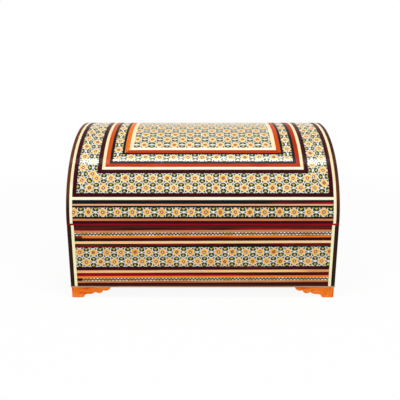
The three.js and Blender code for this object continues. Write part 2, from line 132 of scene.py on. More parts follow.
# Strips on the body, in millimetres down from the rim
BODY_EDGE_STRIPS = (("dark_brown", 4.1), ("corner_cream", 2.8))
BODY_BANDS = {
    "upper_banding": (
        ("walnut", 2.9),
        ("crimson", 2.2),
        ("tan", 2.45),
        ("zigzag", 3.0),
        ("orange", 2.45),
        ("maroon", 3.4),
        ("pale_tan", 2.65),
        ("black", 0.8),
        ("dark_red", 1.7),
        ("black", 0.85),
    ),
    "khatam_band": (
        ("black", 0.6),
        ("khatam_rows", 20.45),
        ("black", 0.55),
    ),
    "lower_banding": (
        ("maroon", 3.25),
        ("peach", 2.75),
        ("crimson", 3.6),
        ("orange", 2.25),
        ("zigzag", 2.85),
        ("tan", 2.25),
        ("maroon", 2.15),
        ("walnut", 1.9),
    ),
}

# Off-cuts at the left end of the front: which strips of a band they stand in, the woods there, and the
# joint's place from the middle at the band's top and its slant, in millimetres
OFFCUTS = {
    ("front", "upper_banding"): OffCut(2, ("coral", "zigzag", "rust", "black"), -124.6, 0.35),
    ("front", "lower_banding"): OffCut(4, ("black",), -122.7, 0.0),
}

# How steeply the joints of the front's strips rise to the right, and how far from the side's upper and
# lower edges they are left level
FRONT_LEAN = 0.0042
LEAN_MARGIN = 0.8 * MM

# Where the rosettes fall, in millimetres: how far one stands from the middle of its strip, along it
# and across it. The frames have front and back first, then the two sides.
BODY_ROSETTES = (8.45, 0.1)
LID_ROW_ROSETTES = (2.9, 0.0)
FRAME_ROSETTES = {
    "lid_khatam_border": ((-0.8, 0.0), (-1.5, 0.0)),
    "lid_khatam_frame": ((-0.6, 0.5), (0.6, 0.0)),
}
PANEL_SHIFT = -5.6

# The lid's ends: a border round the curve, bands as on the front, and a half-moon of khatam
END_BORDER_START = 1.6
END_BORDER_STRIPS = (("dark_brown", 2.0), ("cream", 3.3))
END_LINE = ("maroon", 3.0)

# Fine measures of the made pieces
CURVE_TABLE_STEPS = 4000
STRIP_GAP = 0.02 * MM
BEND_STEP = 2.4 * MM
MOON_SEGMENTS = 256
SMOOTH_ANGLE = radians(20)
BOX_ANGLE = radians(35)
FLAT_ANGLE = radians(1)
VENEER_BOARD = VENEER - STRIP_GAP
CORNER_ROUNDING = 0.5 * MM
FOOT_ROUNDING = 0.35 * MM
HINGE_ROUNDING = 0.12 * MM
SCREW_SEGMENTS = 24
SCREW_HEAD = 1.5 * MM
SCREW_PROFILE = ((0.7 * MM, 0.6 * MM), (0.7 * MM, 4 * MM), (0.05 * MM, 5.3 * MM))
SCREW_BORDER = 0.12 * MM
SCREW_SLOT_DEPTH = 0.3 * MM
SCREW_RECESS = 0.1 * MM
SCREW_STEP = 9.5 * MM
SCREW_INSET = 3.8 * MM
SCREW_TURN = radians(50)
SCREW_FIRST_TURN = 1.4
VELVET_ROUNDING = 0.5 * MM
FOOT_JOINT = 7 * MM
MERGE_DISTANCE = 0.01 * MM
PAD_SEGMENTS = (96, 72)
PAD_ROUNDING = 1.3 * MM
PAD_PULL = 0.35 * MM
PAD_FULLNESS = 0.35
PAD_CROWN = 1.4 * MM
PAD_WRINKLE = 0.5 * MM
PAD_WRINKLE_SCALE = 40

# The heights between which the lid's edge strips darken: towards the seam, and on the right upwards
EDGE_LOW = (SEAM + 12 * MM, SEAM + 32 * MM)
EDGE_HIGH = (SEAM + 40 * MM, SEAM + 52 * MM)

# Weights of the polish, and the heights between which the khatam's changes
THIN_POLISH = 0.04
THICK_POLISH = 0.75
UPPER_POLISH = 0.2
CREST_POLISH = 0.45
SHOULDER_LOW = (0.118, 0.138)
SHOULDER_HIGH = (0.15, 0.162)
CREST = (0.166, 0.1695)

# The heights between which the rosettes turn paler, a painted haze that stands for the lacquer's reflection
# on the lid, and the lid's side stringing more yellow
PAINTED_HAZE_FROM = (0.1, 0.106)
YELLOW_FROM = (0.112, 0.122)

# Noise scales per metre: of a strip's fibres, pores, streaks and short flecks along and across it, of the
# zigzag's wobble and tint, and of the lacquer's long waves, fine skin, dull smears and patchy polish
FIBRES = (55, 1500)
PORES = (260, 3600)
STREAKS = (9, 420)
FLECKS = (45, 700)
ZIGZAG_WOBBLE = 260
ZIGZAG_TINT = 90
WAVES = 42
SKIN = 420
SMEARS = 24
POLISH_PATCHES = 70

# Noise scales per metre of the other finishes. Two numbers are along the grain and across it, and three
# are along X, Y and Z. The rings are a count over the whole range of the board's slow noise.
RIM_GRAIN = (14, 600)
BOARD_FLOW = (3, 22, 22)
BOARD_RINGS = 9
BOARD_PORES = (60, 1900, 1900)
FOOT_GRAIN = (60, 600)
FOOT_BLOTCHES = 130
VELVET_BRUSHED = 26
VELVET_PILE = 2600
BRASS_BRUSHED = (200, 4200, 4200)
BRASS_TARNISH = 160

# Depths of the lacquer's waves and skin, of the grain under it, and of the bare finishes' relief
WAVE_DEPTH = 0.9 * MM
SKIN_DEPTH = 0.08 * MM
GRAIN_DEPTH = 0.1 * MM
BOARD_DEPTH = 0.2 * MM
FOOT_DEPTH = 0.15 * MM
PILE_DEPTH = 0.3 * MM
BRUSHED_DEPTH = 0.05 * MM

# The khatam's drawing: reaches from a rosette's middle, in rosette sizes, but in pitches for the crossing,
# the joint and the brass. A pair is a soft edge.
DRAWING_SOFTNESS = 0.012
PETAL_TIP = 0.268
PETAL_EDGE = 0.226
PETAL_VALLEY = (0.035, 0.075)
HEART_FADE = (0.12, 0.2)
RING_EDGE = (0.1, 0.12)
PIP_EDGE = (0.038, 0.056)
LEAF_TIP = 0.278
LEAF_EDGE = (0.216, 0.232)
BLOCK_EDGE = 0.268
ROW_LINE = (0.05, 0.07)
CROSSING_START = 0.465
CROSSING_HALF = (0.02, 0.04)
JOINT_START = (0.478, 0.494)
JOINT_END = (0.1, 0.14)
BRASS_EDGE = 0.512

# The direction that a petal's edge faces, and the one in which three rosettes meet, from a petal's axis
EDGE_TURN = radians(60)
CORNER_TURN = radians(30)

# How far the rosettes slip from their even rows, in pitches, the noise scales per metre of that slip and
# of the sticks, and the random number past which a rosette's middle is dull
ROSETTE_SLIP = 0.18
ROSETTE_WAVER = 90
STICK_GRAIN = 1500
STICK_FLECKS = 620
STICK_PATCHES = 300
DULL_PIPS = (0.68, 0.72)

# The stained woods: two colours, how much of the second shows, and how strong the grain is
WOODS = {
    "cream": Wood("cream", "straw", 0.3, 0.12),
    "corner_cream": Wood("corner_cream", "cream", 0.3, 0.12),
    "salmon": Wood("salmon", "coral", 0.3, 0.2),
    "coral": Wood("coral", "copper", 0.3, 0.2),
    "peach": Wood("peach", "tan", 0.36, 0.2),
    "pale_tan": Wood("straw", "peach", 0.4, 0.2),
    "tan": Wood("tan", "copper", 0.5, 0.3),
    "orange": Wood("orange", "red_orange", 0.36, 0.22),
    "rust": Wood("rust", "maroon", 0.4, 0.3),
    "crimson": Wood("crimson", "maroon", 0.52, 0.3),
    "dark_red": Wood("maroon", "scarlet", 0.44, 0.3),
    "maroon": Wood("maroon", "crimson", 0.2, 0.3),
    "dark_maroon": Wood("black", "crimson", 0.34, 0.3),
    "black": Wood("black", "dark_brown", 0.3, 0.3),
    "dark_brown": Wood("dark_brown", "black", 0.4, 0.35),
    "walnut": Wood("walnut", "dark_brown", 0.42, 0.4),
}

# The stage, fitted to the photograph
CAMERA_PLACE = Vector((-2.9, -554.8, 211.8)) * MM
CAMERA_DROP = radians(13.65)
PHOTO_PIXELS = 400
FOCUS_PIXELS = 470
SENSOR = 36
FLOOR_SIZE = 12.0
LAMPS = (
    Lamp("overhead_strip", (0, -0.27, 1.12), (0, -0.08, 0.14), 0.85, 0.14, 7.5),
    Lamp("left_softbox", (-1.07, -0.95, 0.6), (0, 0, 0.08), 0.9, 0.9, 3.4),
    Lamp("right_softbox", (1.07, -0.95, 0.6), (0, 0, 0.08), 0.9, 0.9, 3.4),
)
AMBIENT = 0.4

# How white the floor shows of its own accord: near the box, so that a shadow is left, and far from it
FLOOR_WHITENESS = 0.92
SHADOW_REACH = (0.25, 0.9)

# The strips' numbers, and how far the grain moves from one to the next
STRIP_NUMBERS = count(1)
STRIP_SEED = 3.7


def strip(finish, near, far, starts, ends, zero=None, shift=0.0, tone=0.0):
    """One strip of veneer on a flat sheet.

    It runs along X and is as wide as near to far. starts and ends hold its X at the near and the far edge.
    Its pattern is measured from zero across the sheet and from shift along it, and tone varies its stain.
    """
    middle = (near + far) / 2 if zero is None else zero
    return Strip(finish, near, far, starts, ends, middle, shift, tone)


# The lid's curve


def ellipse_point(angle):
    """(y, z) on the lid's curve, from the middle of the seam."""
    return Vector((-HALF_DEPTH * cos(angle), LID_HEIGHT * sin(angle)))


def curve_lengths():
    """Lengths along the lid's curve, from the front of the seam to the back, at even angles."""
    lengths = [0.0]
    before = ellipse_point(0)
    for step in range(1, CURVE_TABLE_STEPS + 1):
        here = ellipse_point(pi * step / CURVE_TABLE_STEPS)
        lengths.append(lengths[-1] + (here - before).length)
        before = here
    return lengths


CURVE_LENGTHS = curve_lengths()
CURVE_LENGTH = CURVE_LENGTHS[-1]
TOP_LENGTH = CURVE_LENGTH / 2


def lid_point(length, height):
    """(y, z) at a length along the lid's curve, and at a height above its surface."""
    after = min(max(bisect_left(CURVE_LENGTHS, length), 1), CURVE_TABLE_STEPS)
    before = CURVE_LENGTHS[after - 1]
    share = (length - before) / (CURVE_LENGTHS[after] - before)
    angle = pi * (after - 1 + share) / CURVE_TABLE_STEPS
    outward = Vector((-cos(angle) / HALF_DEPTH, sin(angle) / LID_HEIGHT)).normalized()
    point = ellipse_point(angle) + outward * height
    return MIDDLE_Y + point.x, SEAM + point.y


# Mesh helpers


def verts_of(geometry):
    return [item for item in geometry if isinstance(item, bmesh.types.BMVert)]


def thicken(bm, thickness):
    """Turns a flat sheet into a closed board, which reaches this far below it, or above where negative."""
    made = bmesh.ops.extrude_face_region(bm, geom=bm.faces[:], use_keep_orig=True)
    bmesh.ops.translate(bm, verts=verts_of(made["geom"]), vec=(0, 0, -thickness))
    bmesh.ops.recalc_face_normals(bm, faces=bm.faces[:])


def cut(bm, place, away, **cleared):
    """Cuts a mesh with a plane through a place, and clears one side of it."""
    geometry = bm.verts[:] + bm.edges[:] + bm.faces[:]
    bmesh.ops.bisect_plane(bm, geom=geometry, plane_co=place, plane_no=away, **cleared)


def box_edges(bm):
    """The edges where two faces meet at a clear angle."""
    return [edge for edge in bm.edges if edge.calc_face_angle(0) > BOX_ANGLE]


def total_width(strips):
    """The width in metres of strips laid side by side."""
    return sum(width for _, width in strips) * MM


def ease_upper_edges(bm, width):
    """Chamfers the edges between the top of a flat board and its sides."""
    edges = []
    for edge in bm.edges:
        slopes = sorted(abs(face.normal.z) for face in edge.link_faces)
        high = edge.verts[0].co.z + edge.verts[1].co.z > -width
        if high and slopes[0] < 0.5 < slopes[-1]:
            edges.append(edge)
    bevel(bm, edges, width, 1)


def bevel(bm, edges, width, segments):
    bmesh.ops.bevel(
        bm,
        geom=edges,
        offset=width,
        segments=segments,
        profile=0.5,
        affect="EDGES",
        material=-1,
        clamp_overlap=True,
    )


def stamp(bm, zero, shift, tone, slot):
    """Writes a strip's pattern coordinates, its tone, its number and its material on a board."""
    pattern = bm.loops.layers.uv.new("Pattern")
    mark(bm, tone)
    for face in bm.faces:
        face.material_index = slot
        for loop in face.loops:
            loop[pattern].uv = (loop.vert.co.x - shift, loop.vert.co.y - zero)


def mark(bm, tone):
    """Writes the tone and the next strip number, which varies the grain."""
    stain = bm.verts.layers.float.new("tone")
    number = bm.verts.layers.float.new("number")
    own = next(STRIP_NUMBERS)
    for vert in bm.verts:
        vert[stain] = tone
        vert[number] = own


def merge(bm, part):
    """Adds one finished part to a piece's mesh."""
    mesh = bpy.data.meshes.new("part")
    part.to_mesh(mesh)
    part.free()
    bm.from_mesh(mesh)
    bpy.data.meshes.remove(mesh)


def finish_piece(bm, name, finishes, body, nodes):
    """Makes one object of a finished mesh, which rides on a body and stands for its nodes."""
    for face in bm.faces:
        face.smooth = True
    for edge in bm.edges:
        edge.smooth = edge.calc_face_angle(0) < SMOOTH_ANGLE
    mesh = bpy.data.meshes.new(name)
    bm.to_mesh(mesh)
    bm.free()
    for finish in finishes:
        mesh.materials.append(material(finish))
    piece = bpy.data.objects.new(name, mesh)
    bpy.context.scene.collection.objects.link(piece)
    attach(piece, body)
    if nodes:
        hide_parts(*nodes)
    return piece


# Veneers


def strip_board(item, steps, slot):
    """A flat board for one strip, cut at its slanted ends and eased along its edges."""
    bm = bmesh.new()
    low_x = min(item.starts)
    high_x = max(item.ends)
    size = Vector((high_x - low_x, item.far - item.near, 1))
    centre = Vector(((low_x + high_x) / 2, (item.near + item.far) / 2, 0))
    cells = [max(1, ceil(extent / step)) for extent, step in zip(size, steps)]
    bmesh.ops.create_grid(
        bm,
        x_segments=cells[0],
        y_segments=cells[1],
        size=0.5,
        matrix=Matrix.Translation(centre) @ Matrix.Diagonal((*size, 1)),
    )
    for (x_near, x_far), side in ((item.starts, -1), (item.ends, 1)):
        if x_near != x_far:
            away = Vector((item.far - item.near, x_near - x_far, 0)) * side
            cut(bm, (x_near, item.near, 0), away, clear_outer=True)
    thicken(bm, VENEER_BOARD)
    ease_upper_edges(bm, bpy.context.scene.box_sizes.strip_chamfer)
    stamp(bm, item.zero, item.shift, item.tone, slot)
    return bm


def moon_board(item, inset, slot):
    """A flat slice of the lid's end, from near to far above the seam, whose ends follow the curve."""
    bm = bmesh.new()
    bmesh.ops.create_circle(bm, cap_ends=True, radius=1, segments=MOON_SEGMENTS)
    bmesh.ops.scale(bm, verts=bm.verts[:], vec=(HALF_DEPTH - inset, LID_HEIGHT - inset, 1))
    for height, away in ((item.near, -1), (item.far, 1)):
        cut(bm, (0, height, 0), (0, away, 0), clear_outer=True)
    thicken(bm, VENEER_BOARD)
    ease_upper_edges(bm, bpy.context.scene.box_sizes.strip_chamfer)
    stamp(bm, item.zero, item.shift, item.tone, slot)
    return bm


def place_verts(bm, place):
    for vert in bm.verts:
        vert.co = place(vert.co)


def veneer_piece(name, runs, steps, body):
    """One piece that stands for its node.

    runs holds pairs of strips and a function that puts a flat point on the box.
    """
    finishes = sorted({item.finish for strips, _ in runs for item in strips})
    bm = bmesh.new()
    for (strips, place), run_steps in zip(runs, steps):
        for item in strips:
            part = strip_board(item, run_steps, finishes.index(item.finish))
            place_verts(part, place)
            merge(bm, part)
    return finish_piece(bm, f"{name}_inlay", finishes, body, [name])


def on_lid(turn):
    """Puts a flat point on the lid, with the sheet's middle on the crest. At turn 0 near is in front."""
    spin = Matrix.Rotation(QUARTER_TURN * turn, 3, "Z")

    def place(point):
        flat = spin @ point
        y, z = lid_point(TOP_LENGTH + flat.y, flat.z)
        return Vector((flat.x, y, z))

    return place


def on_border(side):
    """Puts a flat point on a lid end, with the sheet's X along the curve and its Y inwards from it."""

    def place(point):
        y, z = lid_point(TOP_LENGTH - side * point.x, -point.y)
        return Vector((side * (HALF_WIDTH + point.z), y, z))

    return place


def on_end(side):
    """Puts a flat point on a lid end, with the sheet's Y as height above the seam."""
    return lambda point: Vector((side * (HALF_WIDTH + point.z), MIDDLE_Y + side * point.x, SEAM + point.y))


def on_wall(turn):
    """Puts a flat point on a side of the body, with the sheet's Y as height above the seam."""
    reach = HALF_DEPTH if turn % 2 == 0 else HALF_WIDTH
    stand = Matrix.Rotation(QUARTER_TURN, 4, "X")
    out = Matrix.Translation((0, -reach, 0))
    spin = Matrix.Rotation(QUARTER_TURN * turn, 4, "Z")
    to_box = Matrix.Translation((0, MIDDLE_Y, SEAM)) @ spin @ out @ stand
    return lambda point: to_box @ point


def stacked(widths, start, direction, half, rosettes=(0, 0)):
    """Strips laid side by side from start, each (finish, millimetres), square at both ends."""
    strips = []
    edge = start
    for finish, width in widths:
        other = edge + direction * width * MM
        near, far = sorted((edge, other))
        zero = (near + far) / 2 + rosettes[1] * MM
        strips.append(strip(finish, near, far, (-half, -half), (half, half), zero, rosettes[0] * MM))
        edge = other
    return strips


def build_lid_edge_strips():
    """The brown and cream strips that run over the lid at its two ends."""
    half = TOP_LENGTH - RIM
    for name, turn in (("lid_left_edge_strip", 3), ("lid_right_edge_strip", 1)):
        strips = stacked(LID_EDGE_STRIPS, -HALF_WIDTH, 1, half)
        veneer_piece(name, [(strips, on_lid(turn))], [(BEND_STEP, 1)], "lid")


def build_lid_bandings():
    """The straight bands above the seam, front and back."""
    half = HALF_WIDTH - total_width(LID_EDGE_STRIPS)
    for name, turn in (("lid_front_banding", 0), ("lid_back_banding", 2)):
        strips = stacked(LID_BANDING_STRIPS, RIM - TOP_LENGTH, 1, half, LID_ROW_ROSETTES)
        veneer_piece(name, [(strips, on_lid(turn))], [(1, BEND_STEP)], "lid")


def build_lid_ends():
    """The lid's two ends: a border, straight bands that carry on the front's, and a half-moon of khatam."""
    border_end = END_BORDER_START * MM + total_width(END_BORDER_STRIPS)
    for side_name, side in LEFT_AND_RIGHT:
        border = stacked(END_BORDER_STRIPS, END_BORDER_START * MM, 1, TOP_LENGTH - RIM)
        bands = stacked((*LID_BANDING_STRIPS, END_LINE), RIM, 1, 0)
        low = bands[-1].far
        bands.append(strip("khatam_rows", low, LID_HEIGHT, (0, 0), (0, 0), zero=low))
        finishes = sorted({item.finish for item in border + bands})
        bm = bmesh.new()
        for item in border:
            part = strip_board(item, (BEND_STEP, 1), finishes.index(item.finish))
            place_verts(part, on_border(side))
            merge(bm, part)
        for item in bands:
            part = moon_board(item, border_end, finishes.index(item.finish))
            place_verts(part, on_end(side))
            merge(bm, part)
        name = f"lid_{side_name}_end_panel"
        finish_piece(bm, f"{name}_inlay", finishes, "lid", [name])


def frame_tone(name, turn):
    """The tone of a frame's strips on the side with this turn: 1 is the right side, and 3 the left."""
    right, left = SIDE_TONES.get(name, (0.0, 0.0))
    return {1: right, 3: left}.get(turn, 0.0)


def build_lid_frames():
    """The mitred frames on the lid, from the outside in, and the centre panel."""
    half_x = HALF_WIDTH - total_width(LID_EDGE_STRIPS)
    half_y = TOP_LENGTH - RIM - total_width(LID_BANDING_STRIPS)
    for name, rows in LID_FRAMES.items():
        sides = [[], [], [], []]
        rosettes = FRAME_ROSETTES.get(name, ((0, 0), (0, 0)))
        for finish, side_width, front_width in rows:
            inner_x = half_x - side_width * MM
            inner_y = half_y - front_width * MM
            for turn in range(4):
                outer, inner = (half_y, inner_y) if turn % 2 == 0 else (half_x, inner_x)
                long_outer, long_inner = (half_x, inner_x) if turn % 2 == 0 else (half_y, inner_y)
                starts = (-long_outer, -long_inner)
                ends = (long_outer, long_inner)
                along, across = rosettes[turn % 2]
                zero = -(outer + inner) / 2 + across * MM
                tone = frame_tone(name, turn)
                wood_there = SIDE_WOODS.get(finish, finish) if turn % 2 else finish
                sides[turn].append(strip(wood_there, -outer, -inner, starts, ends, zero, along * MM, tone))
            half_x = inner_x
            half_y = inner_y
        runs = [(strips, on_lid(turn)) for turn, strips in enumerate(sides)]
        steps = [(1, BEND_STEP), (BEND_STEP, 1)] * 2
        veneer_piece(name, runs, steps, "lid")
    ends = (half_x, half_x)
    starts = (-half_x, -half_x)
    panel = strip("khatam_panel", -half_y, half_y, starts, ends, zero=-half_y, shift=PANEL_SHIFT * MM)
    veneer_piece("lid_centre_khatam_panel", [([panel], on_lid(0))], [(1, BEND_STEP)], "lid")


def with_offcuts(strips, offcut, top):
    """Cuts some strips of a band at a slanted joint, and lays other woods to the left of it."""

    def joint(y):
        return offcut.joint * MM + (top - y) * offcut.slant

    last = offcut.first + len(offcut.finishes)
    made = strips[: offcut.first] + strips[last:]
    for item, finish in zip(strips[offcut.first : last], offcut.finishes):
        ends = (joint(item.near), joint(item.far))
        made.append(item._replace(starts=ends))
        made.append(item._replace(finish=finish, ends=ends, shift=item.shift + MM))
    return made


def leaning(place):
    """Leans the joints between the strips of a side a little, and keeps its upper and lower edges level."""
    low = -RIM - sum(total_width(widths) for widths in BODY_BANDS.values())

    def leant(point):
        inside = low + LEAN_MARGIN < point.y < -RIM - LEAN_MARGIN
        rise = FRONT_LEAN * point.x if inside else 0
        return place(point + Vector((0, rise, 0)))

    return leant


def build_body_bands():
    """The bands on the four sides, between the corner edgings."""
    edging = total_width(BODY_EDGE_STRIPS)
    for turn, side in enumerate(SIDES):
        half = (HALF_WIDTH if turn % 2 == 0 else HALF_DEPTH) - edging
        height = -RIM
        for band, widths in BODY_BANDS.items():
            strips = stacked(widths, height, -1, half, BODY_ROSETTES)
            if (side, band) in OFFCUTS:
                strips = with_offcuts(strips, OFFCUTS[side, band], height)
            height -= total_width(widths)
            name = f"{side}_{band}"
            place = leaning(on_wall(turn)) if side == "front" else on_wall(turn)
            veneer_piece(name, [(strips, place)], [(1, 1)], "body")


# Corner edgings


def corner_board(corner, side_x, side_y):
    """The dark strip folded round an upright corner, rounded along the fold."""
    bm = bmesh.new()
    leg = BODY_EDGE_STRIPS[0][1] * MM
    board = VENEER_BOARD
    steps = ((0, 0), (leg, 0), (leg, board), (board, board), (board, leg), (0, leg))
    outline = [bm.verts.new((corner.x - side_x * x, corner.y - side_y * y, corner.z)) for x, y in steps]
    bm.faces.new(outline)
    thicken(bm, -edging_height())
    at_corner = {vert for vert in bm.verts if (vert.co.xy - corner.xy).length < MERGE_DISTANCE}
    fold = [edge for edge in bm.edges if at_corner.issuperset(edge.verts)]
    bevel(bm, fold, CORNER_ROUNDING, 3)
    pattern = bm.loops.layers.uv.new("Pattern")
    mark(bm, 0.0)
    for face in bm.faces:
        for loop in face.loops:
            offset = loop.vert.co - corner
            loop[pattern].uv = (offset.z, offset.x - offset.y)
    return bm


def edging_height():
    low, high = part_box("front_left_corner_edging")
    return high.z - low.z


def build_corner_edgings():
    """A dark strip folded round each upright corner of the body, and a cream strip on both sides of it."""
    dark_width = BODY_EDGE_STRIPS[0][1] * MM
    cream_width = BODY_EDGE_STRIPS[1][1] * MM
    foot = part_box("front_left_corner_edging")[0].z
    half = edging_height() / 2
    upright = Matrix.Rotation(QUARTER_TURN, 3, "Z")
    for corner_name, side_x, side_y in CORNERS:
        name = f"{corner_name}_corner_edging"
        corner = Vector((side_x * HALF_WIDTH, MIDDLE_Y + side_y * HALF_DEPTH, foot))
        bm = corner_board(corner, side_x, side_y)
        walls = ((1 + side_y, HALF_WIDTH, -side_x * side_y), (2 - side_x, HALF_DEPTH, side_x * side_y))
        for turn, reach, hand in walls:
            edge = hand * (reach - dark_width)
            near, far = sorted((-edge, -edge + hand * cream_width))
            item = strip("corner_cream", near, far, (-half, -half), (half, half))
            part = strip_board(item, (1, 1), 1)
            wall = on_wall(turn)
            place_verts(part, lambda point: wall(upright @ point + Vector((0, foot + half - SEAM, 0))))
            merge(bm, part)
        finish_piece(bm, f"{name}_strips", ["dark_brown", "corner_cream"], "body", [name])


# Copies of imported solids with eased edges


def copy_solid(node):
    """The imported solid's mesh, with its triangles joined into flat faces."""
    bm = bmesh.new()
    bm.from_mesh(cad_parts[node].data)
    bmesh.ops.remove_doubles(bm, verts=bm.verts[:], dist=MERGE_DISTANCE)
    bmesh.ops.dissolve_limit(bm, angle_limit=FLAT_ANGLE, verts=bm.verts[:], edges=bm.edges[:])
    return bm


def round_edges(bm, width, segments):
    """Rounds every sharp edge of a closed mesh."""
    bevel(bm, box_edges(bm), width, segments)


def open_edges(bm):
    return [edge for edge in bm.edges if edge.is_boundary]


def keep_beyond(bm, place, away):
    """Cuts a closed mesh with a plane, keeps the part on the side that away points to, and closes it."""
    cut(bm, place, away, clear_inner=True)
    bmesh.ops.holes_fill(bm, edges=open_edges(bm))


def build_feet():
    """Four bracket feet. The front and back wings butt against the side wings."""
    for corner_name, side_x, _ in CORNERS:
        name = f"{corner_name}_foot"
        low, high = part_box(name)
        outer = high.x if side_x > 0 else low.x
        joint = Vector((outer - side_x * FOOT_JOINT, 0, 0))
        bm = bmesh.new()
        for turned, away in ((0.0, -side_x), (1.0, side_x)):
            part = copy_solid(name)
            keep_beyond(part, joint, Vector((away, 0, 0)))
            round_edges(part, FOOT_ROUNDING, 2)
            mark(part, turned)
            merge(bm, part)
        finish_piece(bm, f"{name}_bracket", ["foot_wood"], "body", [name])


def screw(up, turn):
    """A slotted countersunk screw with its head at the origin. up is 1 where it points up, and else -1."""
    bm = bmesh.new()
    half_step = Matrix.Rotation(pi / SCREW_SEGMENTS, 4, "Z")
    bmesh.ops.create_circle(bm, cap_ends=True, radius=SCREW_HEAD, segments=SCREW_SEGMENTS, matrix=half_step)
    (head,) = bm.faces
    for radius, depth in SCREW_PROFILE:
        made = bmesh.ops.extrude_edge_only(bm, edges=open_edges(bm))
        for vert in verts_of(made["geom"]):
            vert.co = (*(vert.co.xy.normalized() * radius), -depth)
    bmesh.ops.holes_fill(bm, edges=open_edges(bm))
    bmesh.ops.inset_individual(bm, faces=[head], thickness=SCREW_BORDER)
    cut_slot(bm, head)
    bmesh.ops.recalc_face_normals(bm, faces=bm.faces[:])
    flip = Matrix.Rotation(pi if up > 0 else 0, 4, "X")
    bmesh.ops.transform(bm, matrix=flip @ Matrix.Rotation(turn, 4, "Z"), verts=bm.verts[:])
    return bm


def cut_slot(bm, head):
    """Sinks the strip of a round head that lies between its corners nearest the X axis."""
    reach = SCREW_HEAD * sin(2 * pi / SCREW_SEGMENTS)
    near = [[vert for vert in head.verts if 0 < side * vert.co.y < reach] for side in (-1, 1)]
    for pair in near:
        bmesh.ops.connect_verts(bm, verts=pair)
    middle = min(bm.faces, key=lambda face: face.calc_center_median().length)
    made = bmesh.ops.extrude_face_region(bm, geom=[middle])
    bmesh.ops.translate(bm, verts=verts_of(made["geom"]), vec=(0, 0, -SCREW_SLOT_DEPTH))


def build_screws():
    """Three screws in each hinge leaf, with their slots turned as a hand leaves them."""
    for side_name, side in LEFT_AND_RIGHT:
        for body, up in (("body", -1), ("lid", 1)):
            low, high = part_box(f"{side_name}_hinge_{body}_leaf")
            bm = bmesh.new()
            for place in (-1, 0, 1):
                part = screw(up, side * up * (place + SCREW_FIRST_TURN) * SCREW_TURN)
                x = (low.x + high.x) / 2 + place * SCREW_STEP
                seat = (x, low.y + SCREW_INSET, SEAM + up * SCREW_RECESS)
                bmesh.ops.translate(part, verts=part.verts[:], vec=seat)
                merge(bm, part)
            finish_piece(bm, f"{side_name}_hinge_{body}_screws", ["brass"], body, [])


def build_hinges():
    """Brass leaves and pins with eased edges."""
    for side_name, _ in LEFT_AND_RIGHT:
        for part_name, body in (("body_leaf", "body"), ("pin", "body"), ("lid_leaf", "lid")):
            name = f"{side_name}_hinge_{part_name}"
            bm = copy_solid(name)
            round_edges(bm, HINGE_ROUNDING, 2)
            finish_piece(bm, f"{name}_brass", ["brass"], body, [name])


# Velvet


def build_velvet():
    """The thin linings of the body's walls and of the lid, with soft edges."""
    linings = [(f"{side}_wall_lining", "body") for side in SIDES]
    linings += [(name, "lid") for name in ("lid_lining", "lid_left_end_lining", "lid_right_end_lining")]
    for name, body in linings:
        bm = copy_solid(name)
        round_edges(bm, VELVET_ROUNDING, 3)
        finish_piece(bm, f"{name}_velvet", ["velvet"], body, [name])


def build_floor_pad():
    """The padded floor: its top is crowned and wrinkled, and its sides pull in between the corners."""
    low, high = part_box("floor_pad")
    middle = (low + high) / 2
    half = (high - low) / 2
    bm = bmesh.new()
    bmesh.ops.create_grid(
        bm,
        x_segments=PAD_SEGMENTS[0],
        y_segments=PAD_SEGMENTS[1],
        size=1,
        matrix=Matrix.Diagonal((half.x, half.y, 1, 1)),
    )
    thicken(bm, 2 * half.z)
    rim = [edge for edge in box_edges(bm) if min(vert.co.z for vert in edge.verts) > -half.z]
    bevel(bm, rim, PAD_ROUNDING, 3)
    for vert in bm.verts:
        share_x = vert.co.x / half.x
        share_y = vert.co.y / half.y
        along = 1 - share_x**2
        across = 1 - share_y**2
        rise = 1 + vert.co.z / (2 * half.z)
        puff = max(0.0, along * across) ** PAD_FULLNESS
        wrinkle = noise.noise(vert.co * PAD_WRINKLE_SCALE)
        vert.co.x -= PAD_PULL * across * share_x * abs(share_x)
        vert.co.y -= PAD_PULL * along * share_y * abs(share_y)
        vert.co.z += rise * puff * (PAD_CROWN + PAD_WRINKLE * wrinkle)
        vert.co += middle + Vector((0, 0, half.z))
    pad = finish_piece(bm, "floor_pad_velvet", ["velvet"], "body", ["floor_pad"])


def build_boards():
    """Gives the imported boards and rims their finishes."""
    boards = {
        "carcass_wood": (
            "base_board",
            "front_wall",
            "back_wall",
            "left_wall",
            "right_wall",
            "lid_barrel",
            "lid_left_end_board",
            "lid_right_end_board",
        ),
        "rim_lacquer": ("body_rim", "lid_rim"),
    }
    for finish, names in boards.items():
        for name in names:
            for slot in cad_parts[name].material_slots:
                slot.material = material(finish)


# Materials


def linear(rgb):
    """Turns a display colour, 0 to 255, into the linear colour that Blender stores."""
    shares = [value / 255 for value in rgb]
    return tuple(s / 12.92 if s <= 0.04045 else ((s + 0.055) / 1.055) ** 2.4 for s in shares)


